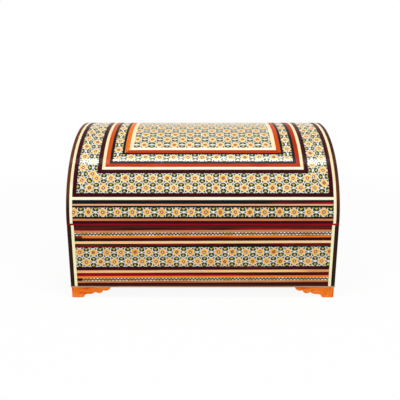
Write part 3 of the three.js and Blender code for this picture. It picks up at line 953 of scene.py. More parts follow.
class Nodes:
    """Adds shader nodes to one tree and joins them."""

    def __init__(self, tree):
        self.tree = tree

    def add(self, kind, **settings):
        node = self.tree.nodes.new(kind)
        for name, value in settings.items():
            setattr(node, name, value)
        return node

    def feed(self, socket, value):
        if isinstance(value, bpy.types.NodeSocket):
            self.tree.links.new(value, socket)
        else:
            socket.default_value = value

    def give(self, node, **inputs):
        """Feeds a node's inputs, which are named with _ for each space."""
        for name, value in inputs.items():
            self.feed(node.inputs[name.replace("_", " ")], value)

    def math(self, operation, *values):
        node = self.add("ShaderNodeMath", operation=operation)
        for socket, value in zip(node.inputs, values):
            self.feed(socket, value)
        return node.outputs[0]

    def vector(self, operation, *values):
        node = self.add("ShaderNodeVectorMath", operation=operation)
        for socket, value in zip(node.inputs, values):
            self.feed(socket, value)
        return node.outputs["Value" if operation == "LENGTH" else "Vector"]

    def times(self, first, second):
        return self.math("MULTIPLY", first, second)

    def plus(self, first, second):
        return self.math("ADD", first, second)

    def minus(self, first, second):
        return self.math("SUBTRACT", first, second)

    def polar(self, reach, angle):
        """The two legs of a distance at an angle."""
        return self.times(reach, self.math("COSINE", angle)), self.times(reach, self.math("SINE", angle))

    def combine(self, x, y, z=0.0):
        node = self.add("ShaderNodeCombineXYZ")
        for socket, value in zip(node.inputs, (x, y, z)):
            self.feed(socket, value)
        return node.outputs[0]

    def split(self, vector):
        node = self.add("ShaderNodeSeparateXYZ")
        self.feed(node.inputs[0], vector)
        return node.outputs

    def blend(self, share, first, second, mode="MIX"):
        """Mixes two colours."""
        node = self.add("ShaderNodeMix", data_type="RGBA", blend_type=mode)
        self.feed(node.inputs["Factor"], share)
        for socket, colour in ((node.inputs[6], first), (node.inputs[7], second)):
            self.feed(socket, colour if isinstance(colour, bpy.types.NodeSocket) else (*colour, 1))
        return node.outputs[2]

    def shaded(self, colour, shade):
        """A colour made darker or lighter by a factor."""
        return self.blend(1.0, colour, self.combine(shade, shade, shade), mode="MULTIPLY")

    def choose(self, share, first, second):
        """Mixes two vectors."""
        node = self.add("ShaderNodeMix", data_type="VECTOR")
        self.feed(node.inputs["Factor"], share)
        self.feed(node.inputs[4], first)
        self.feed(node.inputs[5], second)
        return node.outputs[1]

    def step(self, value, low, high, to_low=0.0, to_high=1.0):
        """A smooth step of value between low and high."""
        node = self.add("ShaderNodeMapRange", interpolation_type="SMOOTHSTEP")
        self.give(node, Value=value, From_Min=low, From_Max=high, To_Min=to_low, To_Max=to_high)
        return node.outputs["Result"]

    def noise(self, vector, scale=1.0, detail=2.0, roughness=0.5):
        node = self.add("ShaderNodeTexNoise")
        self.give(node, Vector=vector, Scale=scale, Detail=detail, Roughness=roughness)
        return node.outputs["Fac"]

    def bump(self, height, strength, distance, normal=None):
        node = self.add("ShaderNodeBump")
        self.give(node, Height=height, Strength=strength, Distance=distance)
        if normal is not None:
            self.feed(node.inputs["Normal"], normal)
        return node.outputs["Normal"]

    def pattern(self):
        """The strip's own coordinates in metres: along it, and across it."""
        return self.add("ShaderNodeUVMap", uv_map="Pattern").outputs["UV"]

    def stretched(self, vector, scales):
        """A place for a noise, stretched by its scales along X, Y and Z."""
        return self.vector("MULTIPLY", vector, scales)

    def attribute(self, name):
        """A number that the mesh carries: a strip's tone or its number."""
        return self.add("ShaderNodeAttribute", attribute_name=name).outputs["Fac"]

    def place(self):
        return self.add("ShaderNodeTexCoord").outputs["Object"]


def new_material(name):
    """A material with its Principled shader, and the helper that adds nodes to it."""
    made = bpy.data.materials.new(f"{name}_finish")
    made.use_nodes = True
    return made, made.node_tree.nodes["Principled BSDF"], Nodes(made.node_tree)


def lacquer(nodes, shader, grain, grain_strength, thick=False):
    """The clear glossy coat over a strip: it is wavy, and slightly dulled here and there."""
    place = nodes.place()
    smears = nodes.noise(place, scale=SMEARS, detail=4, roughness=0.65)
    waves = nodes.bump(nodes.noise(place, scale=WAVES, detail=1.5), 0.5, WAVE_DEPTH)
    nodes.give(
        shader,
        Roughness=nodes.step(smears, 0.3, 0.8, 0.3, 0.5),
        Normal=nodes.bump(grain, grain_strength, GRAIN_DEPTH, waves),
        Specular_IOR_Level=0.04,
        Coat_Weight=thick_polish(nodes, place) if thick else THIN_POLISH,
        Coat_Roughness=0.09,
        Coat_Normal=nodes.bump(nodes.noise(place, scale=SKIN, detail=2), 0.12, SKIN_DEPTH, waves),
    )


def thick_polish(nodes, place):
    """The khatam's polish: thin on the body, patchy on the lid's shoulders, and thick on its crest."""
    height = nodes.split(place)[2]
    rising = nodes.step(height, *SHOULDER_LOW, THIN_POLISH, THICK_POLISH)
    patches = nodes.noise(place, scale=POLISH_PATCHES, detail=3, roughness=0.6)
    patchy = nodes.times(rising, nodes.step(patches, 0.35, 0.6, 0.45, 1.0))
    falling = nodes.times(patchy, nodes.step(height, *SHOULDER_HIGH, 1.0, UPPER_POLISH))
    return nodes.plus(falling, nodes.step(height, *CREST, 0.0, CREST_POLISH))


def fibres(nodes, scales, detail, roughness=0.5):
    """A noise that is long along a strip and narrow across it, and different in each strip."""
    parts = nodes.split(nodes.pattern())
    seed = nodes.times(nodes.attribute("number"), STRIP_SEED)
    along = nodes.times(parts[0], scales[0])
    across = nodes.times(parts[1], scales[1])
    return nodes.noise(nodes.combine(along, across, seed), detail=detail, roughness=roughness)


def grained(nodes, shader, colour, figure):
    """Lays a strip's fibres and pores over its colour, and the lacquer over both."""
    fibre = fibres(nodes, FIBRES, 5, 0.62)
    pores = nodes.step(fibres(nodes, PORES, 2), 0.6, 0.7)
    streaked = nodes.plus(nodes.times(nodes.minus(fibre, 0.5), 2.2 * figure), 1)
    shade = nodes.times(streaked, nodes.minus(1, nodes.times(pores, 0.8 * figure)))
    nodes.give(shader, Base_Color=nodes.shaded(colour, shade))
    lacquer(nodes, shader, nodes.minus(fibre, nodes.times(pores, 0.4)), 0.25)


def streaks(nodes, share, scales=STREAKS):
    """Long thin streaks in a strip: 1 where its second colour shows."""
    edge = 0.66 - share * 0.42
    return nodes.step(fibres(nodes, scales, 4, 0.62), edge, edge + 0.14)


def wood(name):
    """A thin strip of stained wood under lacquer, with long streaks of its second colour."""
    recipe = WOODS[name]
    colours = bpy.context.scene.box_colours
    made, shader, nodes = new_material(name)
    base = getattr(colours, recipe.base)
    colour = nodes.blend(streaks(nodes, recipe.share), base, getattr(colours, recipe.streak))
    grained(nodes, shader, colour, recipe.figure)
    return made


def edge_brown(name):
    """The lid's outermost strips, which darken towards the seam, and on the right also higher up."""
    colours = bpy.context.scene.box_colours
    made, shader, nodes = new_material(name)
    place = nodes.split(nodes.place())
    colour = nodes.blend(streaks(nodes, 0.36), colours.chestnut, colours.dark_brown)
    low = nodes.step(place[2], *EDGE_LOW, 0.9, 0.0)
    right = nodes.step(place[0], 0.0, HALF_WIDTH, 0.0, 0.8)
    high = nodes.times(right, nodes.step(place[2], *EDGE_HIGH, 0.1, 1.0))
    colour = nodes.blend(nodes.math("MAXIMUM", low, high), colour, colours.dark_brown)
    grained(nodes, shader, colour, 0.35)
    return made


def side_cream(name):
    """The pale stringing on the lid's sides, which is more yellow higher up."""
    colours = bpy.context.scene.box_colours
    made, shader, nodes = new_material(name)
    high = nodes.step(nodes.split(nodes.place())[2], *YELLOW_FROM)
    base = nodes.blend(high, colours.cream, colours.warm_cream)
    grained(nodes, shader, nodes.blend(streaks(nodes, 0.3), base, colours.straw), 0.12)
    return made


def red_orange(name):
    """The lid's orange stringing, flecked with rust. A tone makes it paler, and one below 0 darker."""
    colours = bpy.context.scene.box_colours
    made, shader, nodes = new_material(name)
    tone = nodes.attribute("tone")
    base = nodes.blend(tone, colours.red_orange, colours.orange)
    base = nodes.blend(nodes.times(tone, -1), base, colours.rust)
    flecks = nodes.times(streaks(nodes, 0.4, FLECKS), 0.55)
    grained(nodes, shader, nodes.blend(flecks, base, colours.rust), 0.3)
    return made


def zigzag(name):
    """A dark zigzag line between pale triangles."""
    sizes = bpy.context.scene.box_sizes
    colours = bpy.context.scene.box_colours
    made, shader, nodes = new_material(name)
    parts = nodes.split(nodes.pattern())
    wobble = nodes.noise(nodes.pattern(), scale=ZIGZAG_WOBBLE, detail=1)
    turns = nodes.math("DIVIDE", parts[0], sizes.zigzag_pitch)
    turns = nodes.plus(turns, nodes.times(wobble, 0.25))
    wave = nodes.math("PINGPONG", turns, 0.5)
    line = nodes.times(nodes.minus(wave, 0.25), sizes.zigzag_height * 4)
    distance = nodes.math("ABSOLUTE", nodes.minus(parts[1], line))
    dark = nodes.step(distance, sizes.zigzag_line * 0.46, sizes.zigzag_line * 0.54, 1.0, 0.0)
    tint = nodes.noise(nodes.combine(nodes.times(parts[0], ZIGZAG_TINT), parts[1]), detail=2)
    pale = nodes.blend(nodes.step(tint, 0.34, 0.64), colours.bone, colours.olive_pale)
    deep = nodes.blend(nodes.step(tint, 0.45, 0.7), colours.green_black, colours.olive)
    nodes.give(shader, Base_Color=nodes.blend(dark, pale, deep))
    lacquer(nodes, shader, dark, 0.1)
    return made


def khatam_cells(nodes, pitch, row, rows_from_middle):
    """Where a point lies in its rosette, folded into a twelfth, and the rosette's number.

    Rosettes stand in rows, every other row shifted by half a pitch. The lattice is a regular one, pressed
    together across the rows. The first pair of lengths is in pitches and pressed with it. The second pair
    is true and in rosette sizes, so that all stars are round and alike.
    """
    tall = sqrt(3)
    parts = nodes.split(nodes.pattern())
    waver = nodes.noise(nodes.pattern(), scale=ROSETTE_WAVER, detail=2)
    slip = nodes.times(nodes.minus(waver, 0.5), ROSETTE_SLIP)
    along = nodes.plus(nodes.math("DIVIDE", parts[0], pitch), slip)
    rows = nodes.plus(nodes.math("DIVIDE", parts[1], row), rows_from_middle)
    across = nodes.times(nodes.plus(rows, slip), tall / 2)
    point = nodes.combine(along, across)
    cell = (1.0, tall, 1.0)
    half = (0.5, tall / 2, 0.0)
    offsets = []
    for shift in ((0.0, 0.0, 0.0), half):
        moved = nodes.vector("SUBTRACT", point, shift)
        centre = nodes.vector("SNAP", nodes.vector("ADD", moved, half), cell)
        offsets.append((nodes.vector("SUBTRACT", moved, centre), nodes.vector("ADD", centre, shift)))
    lengths = [nodes.vector("LENGTH", offset) for offset, _ in offsets]
    second = nodes.math("LESS_THAN", lengths[1], lengths[0])
    offset = nodes.choose(second, offsets[0][0], offsets[1][0])
    number = nodes.choose(second, offsets[0][1], offsets[1][1])
    spread = nodes.split(offset)
    angle = nodes.math("ARCTAN2", spread[1], spread[0])
    folded = nodes.math("ABSOLUTE", nodes.math("WRAP", angle, pi / 6, -pi / 6))
    size = bpy.context.scene.box_sizes.rosette_size
    round_offset = nodes.vector("MULTIPLY", offset, (pitch / size, row / size * 2 / tall, 1))
    return (
        nodes.polar(nodes.vector("LENGTH", offset), folded),
        nodes.polar(nodes.vector("LENGTH", round_offset), folded),
        round_offset,
        number,
    )


def khatam(name, pitch, row, rows_from_middle, pip_colour="bone"):
    """Khatam: rosettes of tiny wood, bone and metal sticks, sliced into a sheet."""
    colours = bpy.context.scene.box_colours
    made, shader, nodes = new_material(name)
    pressed, star, spread, number = khatam_cells(nodes, pitch, row, rows_from_middle)
    reach = nodes.vector("LENGTH", spread)
    grain = nodes.noise(nodes.pattern(), scale=STICK_GRAIN, detail=3, roughness=0.7)
    fleck = nodes.noise(nodes.pattern(), scale=STICK_FLECKS, detail=1)
    chance = nodes.add("ShaderNodeTexWhiteNoise", noise_dimensions="2D")
    nodes.give(chance, Vector=number)
    slant = towards(nodes, star, EDGE_TURN)
    colour = petals(nodes, star, reach, fleck, chance.outputs["Value"])
    colour = nodes.blend(beyond(nodes, star[0], PETAL_TIP), colour, colours.bone)
    colour = nodes.blend(beyond(nodes, slant, PETAL_EDGE), colour, colours.bone)
    leaf = nodes.times(beyond(nodes, star[0], LEAF_TIP), nodes.step(slant, *LEAF_EDGE, 1.0, 0.0))
    colour = nodes.blend(leaf, colour, colours.olive)
    crossing = nodes.times(
        beyond(nodes, pressed[0], CROSSING_START), nodes.step(pressed[1], *CROSSING_HALF, 0.4, 0.0)
    )
    colour = nodes.blend(crossing, colour, colours.ring)
    block = dark_blocks(nodes, pressed, slant, nodes.split(spread)[1])
    dark = nodes.blend(nodes.step(fleck, 0.46, 0.66, 0.0, 0.7), colours.green_black, colours.olive)
    colour = nodes.blend(block, colour, dark)
    brass_stick = beyond(nodes, towards(nodes, pressed, CORNER_TURN), BRASS_EDGE)
    colour = nodes.blend(brass_stick, colour, colours.gold)
    colour = nodes.blend(nodes.step(reach, *RING_EDGE, 1.0, 0.0), colour, colours.ring)
    dull = nodes.step(nodes.split(chance.outputs["Color"])[1], *DULL_PIPS)
    pip = nodes.blend(dull, getattr(colours, pip_colour), colours.metal)
    colour = nodes.blend(nodes.step(reach, *PIP_EDGE, 1.0, 0.0), colour, pip)
    shade = nodes.plus(nodes.times(grain, 0.34), 0.83)
    nodes.give(shader, Base_Color=nodes.shaded(colour, shade))
    lacquer(nodes, shader, nodes.minus(grain, block), 0.12, thick=True)
    return made


def beyond(nodes, value, limit):
    """1 where a value is past a limit, with a soft edge."""
    return nodes.step(value, limit - DRAWING_SOFTNESS, limit + DRAWING_SOFTNESS)


def towards(nodes, legs, angle):
    """How far a point lies in the direction of an angle."""
    return nodes.plus(nodes.times(legs[0], cos(angle)), nodes.times(legs[1], sin(angle)))


def petals(nodes, star, reach, fleck, luck):
    """The yellow and orange sticks of a rosette, which differ from one to the next, and which are painted
    paler on the lid as a painted reflection haze.
    """
    colours = bpy.context.scene.box_colours
    patch = nodes.noise(nodes.pattern(), scale=STICK_PATCHES, detail=1)
    # Painted haze: higher up the lid the petals blend towards a paler colour that stands for the lacquer's
    # reflection
    high = nodes.step(nodes.split(nodes.place())[2], *PAINTED_HAZE_FROM, 0.0, 0.75)
    colour = nodes.blend(nodes.step(luck, 0.3, 1.0), colours.petal, colours.petal_deep)
    colour = nodes.blend(high, colour, colours.petal_painted_haze)
    colour = nodes.blend(nodes.step(patch, 0.5, 0.62, 0.0, 0.65), colour, colours.petal_green)
    colour = nodes.blend(nodes.step(fleck, 0.53, 0.66, 0.0, 0.75), colour, colours.petal_heart)
    colour = nodes.blend(nodes.step(star[1], *PETAL_VALLEY, 0.0, 0.25), colour, colours.petal_heart)
    return nodes.blend(nodes.step(reach, *HEART_FADE, 0.6, 0.0), colour, colours.petal_heart)


def dark_blocks(nodes, pressed, slant, from_row):
    """1 in the dark hexagons between rosettes, which short pale joints and the rows' middle lines cut."""
    joint = nodes.times(nodes.step(pressed[0], *JOINT_START), nodes.step(pressed[1], *JOINT_END, 1.0, 0.0))
    off_row = nodes.step(nodes.math("ABSOLUTE", from_row), *ROW_LINE)
    return nodes.times(nodes.times(beyond(nodes, slant, BLOCK_EDGE), nodes.minus(1, joint)), off_row)


def rim_lacquer(name):
    """The crimson edge of the body and the lid: four strips mitred at the corners."""
    colours = bpy.context.scene.box_colours
    made, shader, nodes = new_material(name)
    place = nodes.place()
    parts = nodes.split(place)
    from_middle = nodes.math("ABSOLUTE", nodes.minus(parts[1], MIDDLE_Y))
    to_side = nodes.minus(HALF_WIDTH, nodes.math("ABSOLUTE", parts[0]))
    to_front = nodes.minus(HALF_DEPTH, from_middle)
    along, across = RIM_GRAIN
    along_x = nodes.stretched(place, (along, across, across))
    along_y = nodes.stretched(place, (across, along, across))
    grain = nodes.choose(nodes.math("LESS_THAN", to_side, to_front), along_x, along_y)
    streak = nodes.noise(grain, detail=4, roughness=0.6)
    colour = nodes.blend(nodes.step(streak, 0.5, 0.72, 0.0, 0.7), colours.crimson, colours.maroon)
    nodes.give(shader, Base_Color=colour)
    lacquer(nodes, shader, streak, 0.2)
    return made


def carcass_wood(name):
    """Plain boards: long flowing growth rings and fine pores."""
    colours = bpy.context.scene.box_colours
    made, shader, nodes = new_material(name)
    place = nodes.place()
    flow = nodes.noise(nodes.stretched(place, BOARD_FLOW), detail=2)
    rings = nodes.math("FRACT", nodes.times(flow, BOARD_RINGS))
    late = nodes.step(rings, 0.55, 0.95)
    pores = nodes.noise(nodes.stretched(place, BOARD_PORES), detail=4, roughness=0.65)
    colour = nodes.blend(nodes.times(late, 0.6), colours.board, colours.board_ring)
    nodes.give(
        shader,
        Base_Color=nodes.shaded(colour, nodes.plus(nodes.times(pores, 0.4), 0.8)),
        Roughness=nodes.step(pores, 0.3, 0.7, 0.45, 0.7),
        Normal=nodes.bump(pores, 0.2, BOARD_DEPTH),
    )
    return made


def foot_wood(name):
    """Orange-stained wood. Its grain runs level on the wings and upright on the corner's end grain."""
    colours = bpy.context.scene.box_colours
    made, shader, nodes = new_material(name)
    place = nodes.place()
    tone = nodes.attribute("tone")
    along, across = FOOT_GRAIN
    level = nodes.stretched(place, (along, along, across))
    upright = nodes.stretched(place, (across, across, along))
    fibre = nodes.noise(nodes.choose(tone, level, upright), detail=5, roughness=0.65)
    blotch = nodes.noise(place, scale=FOOT_BLOTCHES, detail=3)
    colour = nodes.blend(nodes.step(fibre, 0.38, 0.6), colours.foot_pale, colours.foot)
    colour = nodes.blend(nodes.step(blotch, 0.5, 0.72, 0.0, 0.6), colour, colours.foot_deep)
    colour = nodes.blend(nodes.step(fibre, 0.56, 0.68, 0.0, 0.8), colour, colours.foot_deep)
    nodes.give(
        shader,
        Base_Color=colour,
        Roughness=nodes.step(fibre, 0.3, 0.7, 0.38, 0.55),
        Normal=nodes.bump(fibre, 0.25, FOOT_DEPTH),
        Specular_IOR_Level=0.06,
    )
    return made


def velvet(name):
    """Crimson velvet: short pile with brushed patches and a soft sheen."""
    colours = bpy.context.scene.box_colours
    made, shader, nodes = new_material(name)
    place = nodes.place()
    brushed = nodes.noise(place, scale=VELVET_BRUSHED, detail=4, roughness=0.6)
    pile = nodes.noise(place, scale=VELVET_PILE, detail=2)
    colour = nodes.blend(nodes.step(brushed, 0.35, 0.65), colours.velvet, colours.velvet_light)
    nodes.give(
        shader,
        Base_Color=nodes.shaded(colour, nodes.plus(nodes.times(pile, 0.7), 0.65)),
        Roughness=0.95,
        Normal=nodes.bump(pile, 0.5, PILE_DEPTH),
        Specular_IOR_Level=0.1,
        Sheen_Weight=0.6,
        Sheen_Roughness=0.4,
        Sheen_Tint=(*colours.velvet_light, 1),
    )
    return made


def brass(name):
    """Brushed brass, slightly tarnished."""
    colours = bpy.context.scene.box_colours
    made, shader, nodes = new_material(name)
    place = nodes.place()
    brushed = nodes.noise(nodes.stretched(place, BRASS_BRUSHED), detail=3, roughness=0.6)
    tarnish = nodes.noise(place, scale=BRASS_TARNISH, detail=5, roughness=0.65)
    colour = nodes.blend(nodes.step(tarnish, 0.45, 0.72, 0.0, 0.7), colours.brass, colours.brass_dark)
    nodes.give(
        shader,
        Base_Color=colour,
        Metallic=1.0,
        Roughness=nodes.step(tarnish, 0.35, 0.7, 0.24, 0.42),
        Normal=nodes.bump(brushed, 0.15, BRUSHED_DEPTH),
    )
    return made


def material(name):
    """The material of a finish, made when it is first used."""
    found = bpy.data.materials.get(f"{name}_finish")
    if found:
        return found
    if name in WOODS:
        return wood(name)
    return FINISHES[name](name)


def khatam_row(name):
    sizes = bpy.context.scene.box_sizes
    return khatam(name, sizes.single_pitch, sizes.rosette_row, 0.0)


def khatam_rows(name):
    sizes = bpy.context.scene.box_sizes
    return khatam(name, sizes.rosette_pitch, sizes.rosette_row, 0.5)


def khatam_panel(name):
    sizes = bpy.context.scene.box_sizes
    return khatam(name, sizes.panel_pitch, sizes.panel_row, 0.5, pip_colour="petal_heart")


FINISHES = {
    "edge_brown": edge_brown,
    "side_cream": side_cream,
    "rim_lacquer": rim_lacquer,
    "carcass_wood": carcass_wood,
    "foot_wood": foot_wood,
    "velvet": velvet,
    "brass": brass,
    "red_orange": red_orange,
    "zigzag": zigzag,
    "khatam_row": khatam_row,
    "khatam_rows": khatam_rows,
    "khatam_panel": khatam_panel,
}


# Stage


def seen_directly(nodes):
    """1 for what the camera sees, and for what shows in a reflection or through glass."""
    path = nodes.add("ShaderNodeLightPath").outputs
    seen = nodes.math("MAXIMUM", path["Is Camera Ray"], path["Is Glossy Ray"])
    return nodes.math("MAXIMUM", seen, path["Is Transmission Ray"])


def lay_floor():
    """A plain pale floor, which shows white apart from the box's shadow."""
    bm = bmesh.new()
    bmesh.ops.create_grid(bm, x_segments=1, y_segments=1, size=FLOOR_SIZE / 2)
    mesh = bpy.data.meshes.new("floor")
    bm.to_mesh(mesh)
    bm.free()
    made, shader, nodes = new_material("floor")
    nodes.give(shader, Base_Color=(0.9, 0.9, 0.9, 1), Roughness=0.9, Specular_IOR_Level=0.0)
    distance = nodes.vector("LENGTH", nodes.place())
    whiteness = nodes.step(distance, *SHADOW_REACH, FLOOR_WHITENESS, 1.0)
    white = nodes.add("ShaderNodeEmission")
    mixed = nodes.add("ShaderNodeMixShader")
    nodes.feed(mixed.inputs[0], nodes.times(whiteness, seen_directly(nodes)))
    nodes.feed(mixed.inputs[1], shader.outputs[0])
    nodes.feed(mixed.inputs[2], white.outputs[0])
    nodes.feed(made.node_tree.nodes["Material Output"].inputs["Surface"], mixed.outputs[0])
    mesh.materials.append(made)
    floor = bpy.data.objects.new("floor", mesh)
    bpy.context.scene.collection.objects.link(floor)


def light_world():
    """Plain ambient light, with a white background for the camera and for reflections."""
    world = bpy.data.worlds.new("studio")
    world.use_nodes = True
    nodes = Nodes(world.node_tree)
    strength = nodes.plus(nodes.times(seen_directly(nodes), 1 - AMBIENT), AMBIENT)
    nodes.give(world.node_tree.nodes["Background"], Color=(1, 1, 1, 1), Strength=strength)
    bpy.context.scene.world = world


def hang_lamps():
    for lamp in LAMPS:
        data = bpy.data.lights.new(lamp.name, "AREA")
        data.shape = "RECTANGLE"
        data.size = lamp.size_x
        data.size_y = lamp.size_y
        data.energy = lamp.power
        made = bpy.data.objects.new(lamp.name, data)
        made.location = lamp.place
        aim = Vector(lamp.target) - Vector(lamp.place)
        made.rotation_euler = aim.to_track_quat("-Z", "Y").to_euler()
        bpy.context.scene.collection.objects.link(made)


def place_camera():
    data = bpy.data.cameras.new("camera")
    data.sensor_fit = "HORIZONTAL"
    data.sensor_width = SENSOR
    data.lens = SENSOR * FOCUS_PIXELS / PHOTO_PIXELS
    data.clip_start = 10 * MM
    made = bpy.data.objects.new("camera", data)
    made.location = CAMERA_PLACE
    made.rotation_euler = (QUARTER_TURN - CAMERA_DROP, 0, 0)
    bpy.context.scene.collection.objects.link(made)
    bpy.context.scene.camera = made


# Sizes and colours that a user may change


def colour_property(name, description, rgb):
    return FloatVectorProperty(
        name=name, description=description, subtype="COLOR", size=3, min=0, max=1, default=linear(rgb)
    )


def length_property(name, description, millimetres):
    return FloatProperty(name=name, description=description, unit="LENGTH", min=0, default=millimetres * MM)


class BoxSizes(bpy.types.PropertyGroup):
    strip_chamfer: length_property("Strip chamfer", "Eased edge of every strip", 0.1)
    rosette_size: length_property("Rosette size", "Scale of the rosettes in all strips", 13.95)
    rosette_pitch: length_property("Rosette pitch", "Step between rosettes in a two-row strip", 13.95)
    single_pitch: length_property("Single row pitch", "Step between rosettes in a one-row strip", 14.5)
    rosette_row: length_property("Rosette row", "Step between rows in a two-row strip", 10.1)
    panel_pitch: length_property("Panel pitch", "Step between rosettes in the centre panel", 15.8)
    panel_row: length_property("Panel row", "Step between rows in the centre panel", 9.4)
    zigzag_pitch: length_property("Zigzag pitch", "Step of the zigzag line", 3.49)
    zigzag_height: length_property("Zigzag height", "Swing of the zigzag line to each side", 0.75)
    zigzag_line: length_property("Zigzag line", "Width of the zigzag line, measured upright", 1.8)


class BoxColours(bpy.types.PropertyGroup):
    cream: colour_property("Cream", "Pale stringing", (255, 248, 218))
    warm_cream: colour_property("Warm cream", "Pale stringing on the lid's sides", (240, 222, 180))
    corner_cream: colour_property("Corner cream", "Pale strips at the body's corners", (255, 250, 198))
    straw: colour_property("Straw", "Warm shade in the pale strips", (255, 214, 158))
    salmon: colour_property("Salmon", "Pinkish strip high above the seam", (228, 170, 132))
    coral: colour_property("Coral", "Orange-pink strip next to the seam", (220, 132, 86))
    copper: colour_property("Copper", "Darker shade in the salmon and tan strips", (186, 96, 58))
    peach: colour_property("Peach", "Wide pale strip low on the body", (255, 198, 136))
    tan: colour_property("Tan", "Brownish strips beside the zigzag", (204, 140, 84))
    orange: colour_property("Orange", "Bright orange strips", (246, 134, 44))
    red_orange: colour_property("Red orange", "Redder orange of the lid's frames", (188, 50, 4))
    rust: colour_property("Rust", "Dark flecks in the red-orange strips", (142, 30, 8))
    crimson: colour_property("Crimson", "Red strips and the rim", (152, 2, 26))
    scarlet: colour_property("Scarlet", "Bright streaks in the dark red strips", (196, 30, 12))
    maroon: colour_property("Maroon", "Dark red strips", (56, 4, 12))
    black: colour_property("Black", "Ebony lines", (16, 20, 18))
    walnut: colour_property("Walnut", "Brown strips next to the rim and at the foot", (70, 34, 18))
    dark_brown: colour_property("Dark brown", "Corner strips of the body", (50, 24, 16))
    chestnut: colour_property("Chestnut", "Edge strips of the lid", (98, 48, 22))
    bone: colour_property("Bone", "White sticks in the khatam", (248, 249, 242))
    petal: colour_property("Petal", "Yellow orange of the rosettes", (250, 208, 116))
    # Painted reflection haze: the paler colour of the lid's rosettes stands for the lacquer's reflection
    # over them
    petal_painted_haze: colour_property("Pale petal", "Paler shade of the lid's rosettes", (248, 224, 152))
    petal_deep: colour_property("Deep petal", "Stronger orange in some rosettes", (246, 186, 80))
    petal_green: colour_property("Greenish petal", "Yellow-green patches in the rosettes", (228, 206, 112))
    petal_heart: colour_property("Petal heart", "Orange round the middle of a rosette", (232, 146, 66))
    ring: colour_property("Ring", "Red-brown ring in a rosette", (136, 66, 44))
    olive: colour_property("Olive", "Small leaves round a rosette", (84, 86, 58))
    olive_pale: colour_property("Pale olive", "Greyish green in the zigzag's triangles", (186, 172, 116))
    green_black: colour_property("Green black", "Dark blocks between rosettes", (44, 56, 42))
    metal: colour_property("Metal", "Dull middles of some rosettes", (168, 158, 148))
    gold: colour_property("Gold", "Brass sticks between the dark blocks", (204, 184, 96))
    foot: colour_property("Foot", "Orange wood of the feet", (240, 110, 22))
    foot_pale: colour_property("Pale foot", "Lighter streaks in the feet", (252, 140, 48))
    foot_deep: colour_property("Deep foot", "Darker streaks in the feet", (196, 70, 8))
    board: colour_property("Board", "Boards inside the veneers", (188, 148, 112))
    board_ring: colour_property("Board ring", "Late wood in the boards", (150, 106, 72))
    velvet: colour_property("Velvet", "Lining", (112, 8, 26))
    velvet_light: colour_property("Light velvet", "Brushed patches of the lining", (150, 22, 42))
    brass: colour_property("Brass", "Hinges", (214, 172, 92))
    brass_dark: colour_property("Dark brass", "Tarnish on the hinges", (150, 108, 52))


class JEWELBOX_OT_stage(bpy.types.Operator):
    """Floor, studio light and camera"""

    bl_idname = "jewelbox.stage"
    bl_label = "Studio"

    def execute(self, context):
        lay_floor()
        light_world()
        hang_lamps()
        place_camera()
        context.scene.view_settings.view_transform = "Standard"
        return {"FINISHED"}


class JEWELBOX_OT_lid_edge_strips(bpy.types.Operator):
    """Strips over the lid's two ends"""

    bl_idname = "jewelbox.lid_edge_strips"
    bl_label = "Lid edge strips"

    def execute(self, context):
        build_lid_edge_strips()
        return {"FINISHED"}


class JEWELBOX_OT_lid_bandings(bpy.types.Operator):
    """Straight bands above the seam"""

    bl_idname = "jewelbox.lid_bandings"
    bl_label = "Lid bandings"

    def execute(self, context):
        build_lid_bandings()
        return {"FINISHED"}


class JEWELBOX_OT_lid_frames(bpy.types.Operator):
    """Mitred frames and centre panel of the lid"""

    bl_idname = "jewelbox.lid_frames"
    bl_label = "Lid frames"

    def execute(self, context):
        build_lid_frames()
        return {"FINISHED"}


class JEWELBOX_OT_body_bands(bpy.types.Operator):
    """Bands on the four sides of the body"""

    bl_idname = "jewelbox.body_bands"
    bl_label = "Body bands"

    def execute(self, context):
        build_body_bands()
        return {"FINISHED"}


class JEWELBOX_OT_lid_ends(bpy.types.Operator):
    """Veneers on the lid's two ends"""

    bl_idname = "jewelbox.lid_ends"
    bl_label = "Lid ends"

    def execute(self, context):
        build_lid_ends()
        return {"FINISHED"}


class JEWELBOX_OT_corner_edgings(bpy.types.Operator):
    """Strips up the four corners of the body"""

    bl_idname = "jewelbox.corner_edgings"
    bl_label = "Corner edgings"

    def execute(self, context):
        build_corner_edgings()
        return {"FINISHED"}


class JEWELBOX_OT_feet(bpy.types.Operator):
    """Four bracket feet"""

    bl_idname = "jewelbox.feet"
    bl_label = "Feet"

    def execute(self, context):
        build_feet()
        return {"FINISHED"}


class JEWELBOX_OT_boards(bpy.types.Operator):
    """Finishes of the wooden boards and the rims"""

    bl_idname = "jewelbox.boards"
    bl_label = "Boards and rims"

    def execute(self, context):
        build_boards()
        return {"FINISHED"}


class JEWELBOX_OT_linings(bpy.types.Operator):
    """Velvet on the walls and inside the lid"""

    bl_idname = "jewelbox.linings"
    bl_label = "Velvet linings"

    def execute(self, context):
        build_velvet()
        return {"FINISHED"}


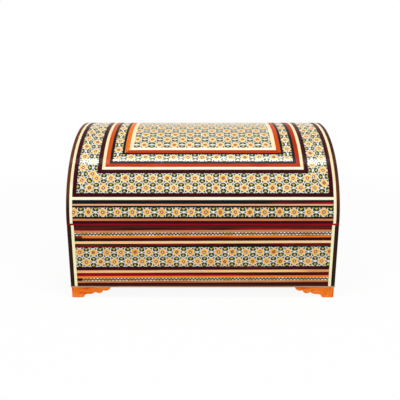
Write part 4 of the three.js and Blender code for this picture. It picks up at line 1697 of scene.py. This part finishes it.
class JEWELBOX_OT_floor_pad(bpy.types.Operator):
    """Padded velvet floor"""

    bl_idname = "jewelbox.floor_pad"
    bl_label = "Floor pad"

    def execute(self, context):
        build_floor_pad()
        return {"FINISHED"}


class JEWELBOX_OT_hinges(bpy.types.Operator):
    """Two brass butt hinges and their screws"""

    bl_idname = "jewelbox.hinges"
    bl_label = "Hinges"

    def execute(self, context):
        build_hinges()
        build_screws()
        return {"FINISHED"}


OPERATORS = (
    JEWELBOX_OT_stage,
    JEWELBOX_OT_lid_edge_strips,
    JEWELBOX_OT_lid_bandings,
    JEWELBOX_OT_lid_frames,
    JEWELBOX_OT_lid_ends,
    JEWELBOX_OT_body_bands,
    JEWELBOX_OT_corner_edgings,
    JEWELBOX_OT_feet,
    JEWELBOX_OT_boards,
    JEWELBOX_OT_linings,
    JEWELBOX_OT_floor_pad,
    JEWELBOX_OT_hinges,
)


class JEWELBOX_PT_panel(bpy.types.Panel):
    """Lists the box's pieces in the order in which they are made"""

    bl_label = "Jewelry Box"
    bl_idname = "JEWELBOX_PT_panel"
    bl_space_type = "VIEW_3D"
    bl_region_type = "UI"
    bl_category = "Jewelry Box"

    def draw(self, context):
        for operator in OPERATORS:
            self.layout.operator(operator.bl_idname)
        for group in (context.scene.box_sizes, context.scene.box_colours):
            for name in group.bl_rna.properties.keys():
                if name not in ("rna_type", "name"):
                    self.layout.prop(group, name)


CLASSES = (BoxSizes, BoxColours, *OPERATORS, JEWELBOX_PT_panel)


def register():
    for cls in CLASSES:
        bpy.utils.register_class(cls)
    bpy.types.Scene.box_sizes = PointerProperty(type=BoxSizes)
    bpy.types.Scene.box_colours = PointerProperty(type=BoxColours)


def unregister():
    del bpy.types.Scene.box_colours
    del bpy.types.Scene.box_sizes
    for cls in reversed(CLASSES):
        bpy.utils.unregister_class(cls)


def main():
    """Builds the whole box and its stage."""
    register()
    for operator in OPERATORS:
        name = operator.bl_idname.split(".")[1]
        getattr(bpy.ops.jewelbox, name)()


if __name__ == "__main__":
    main()
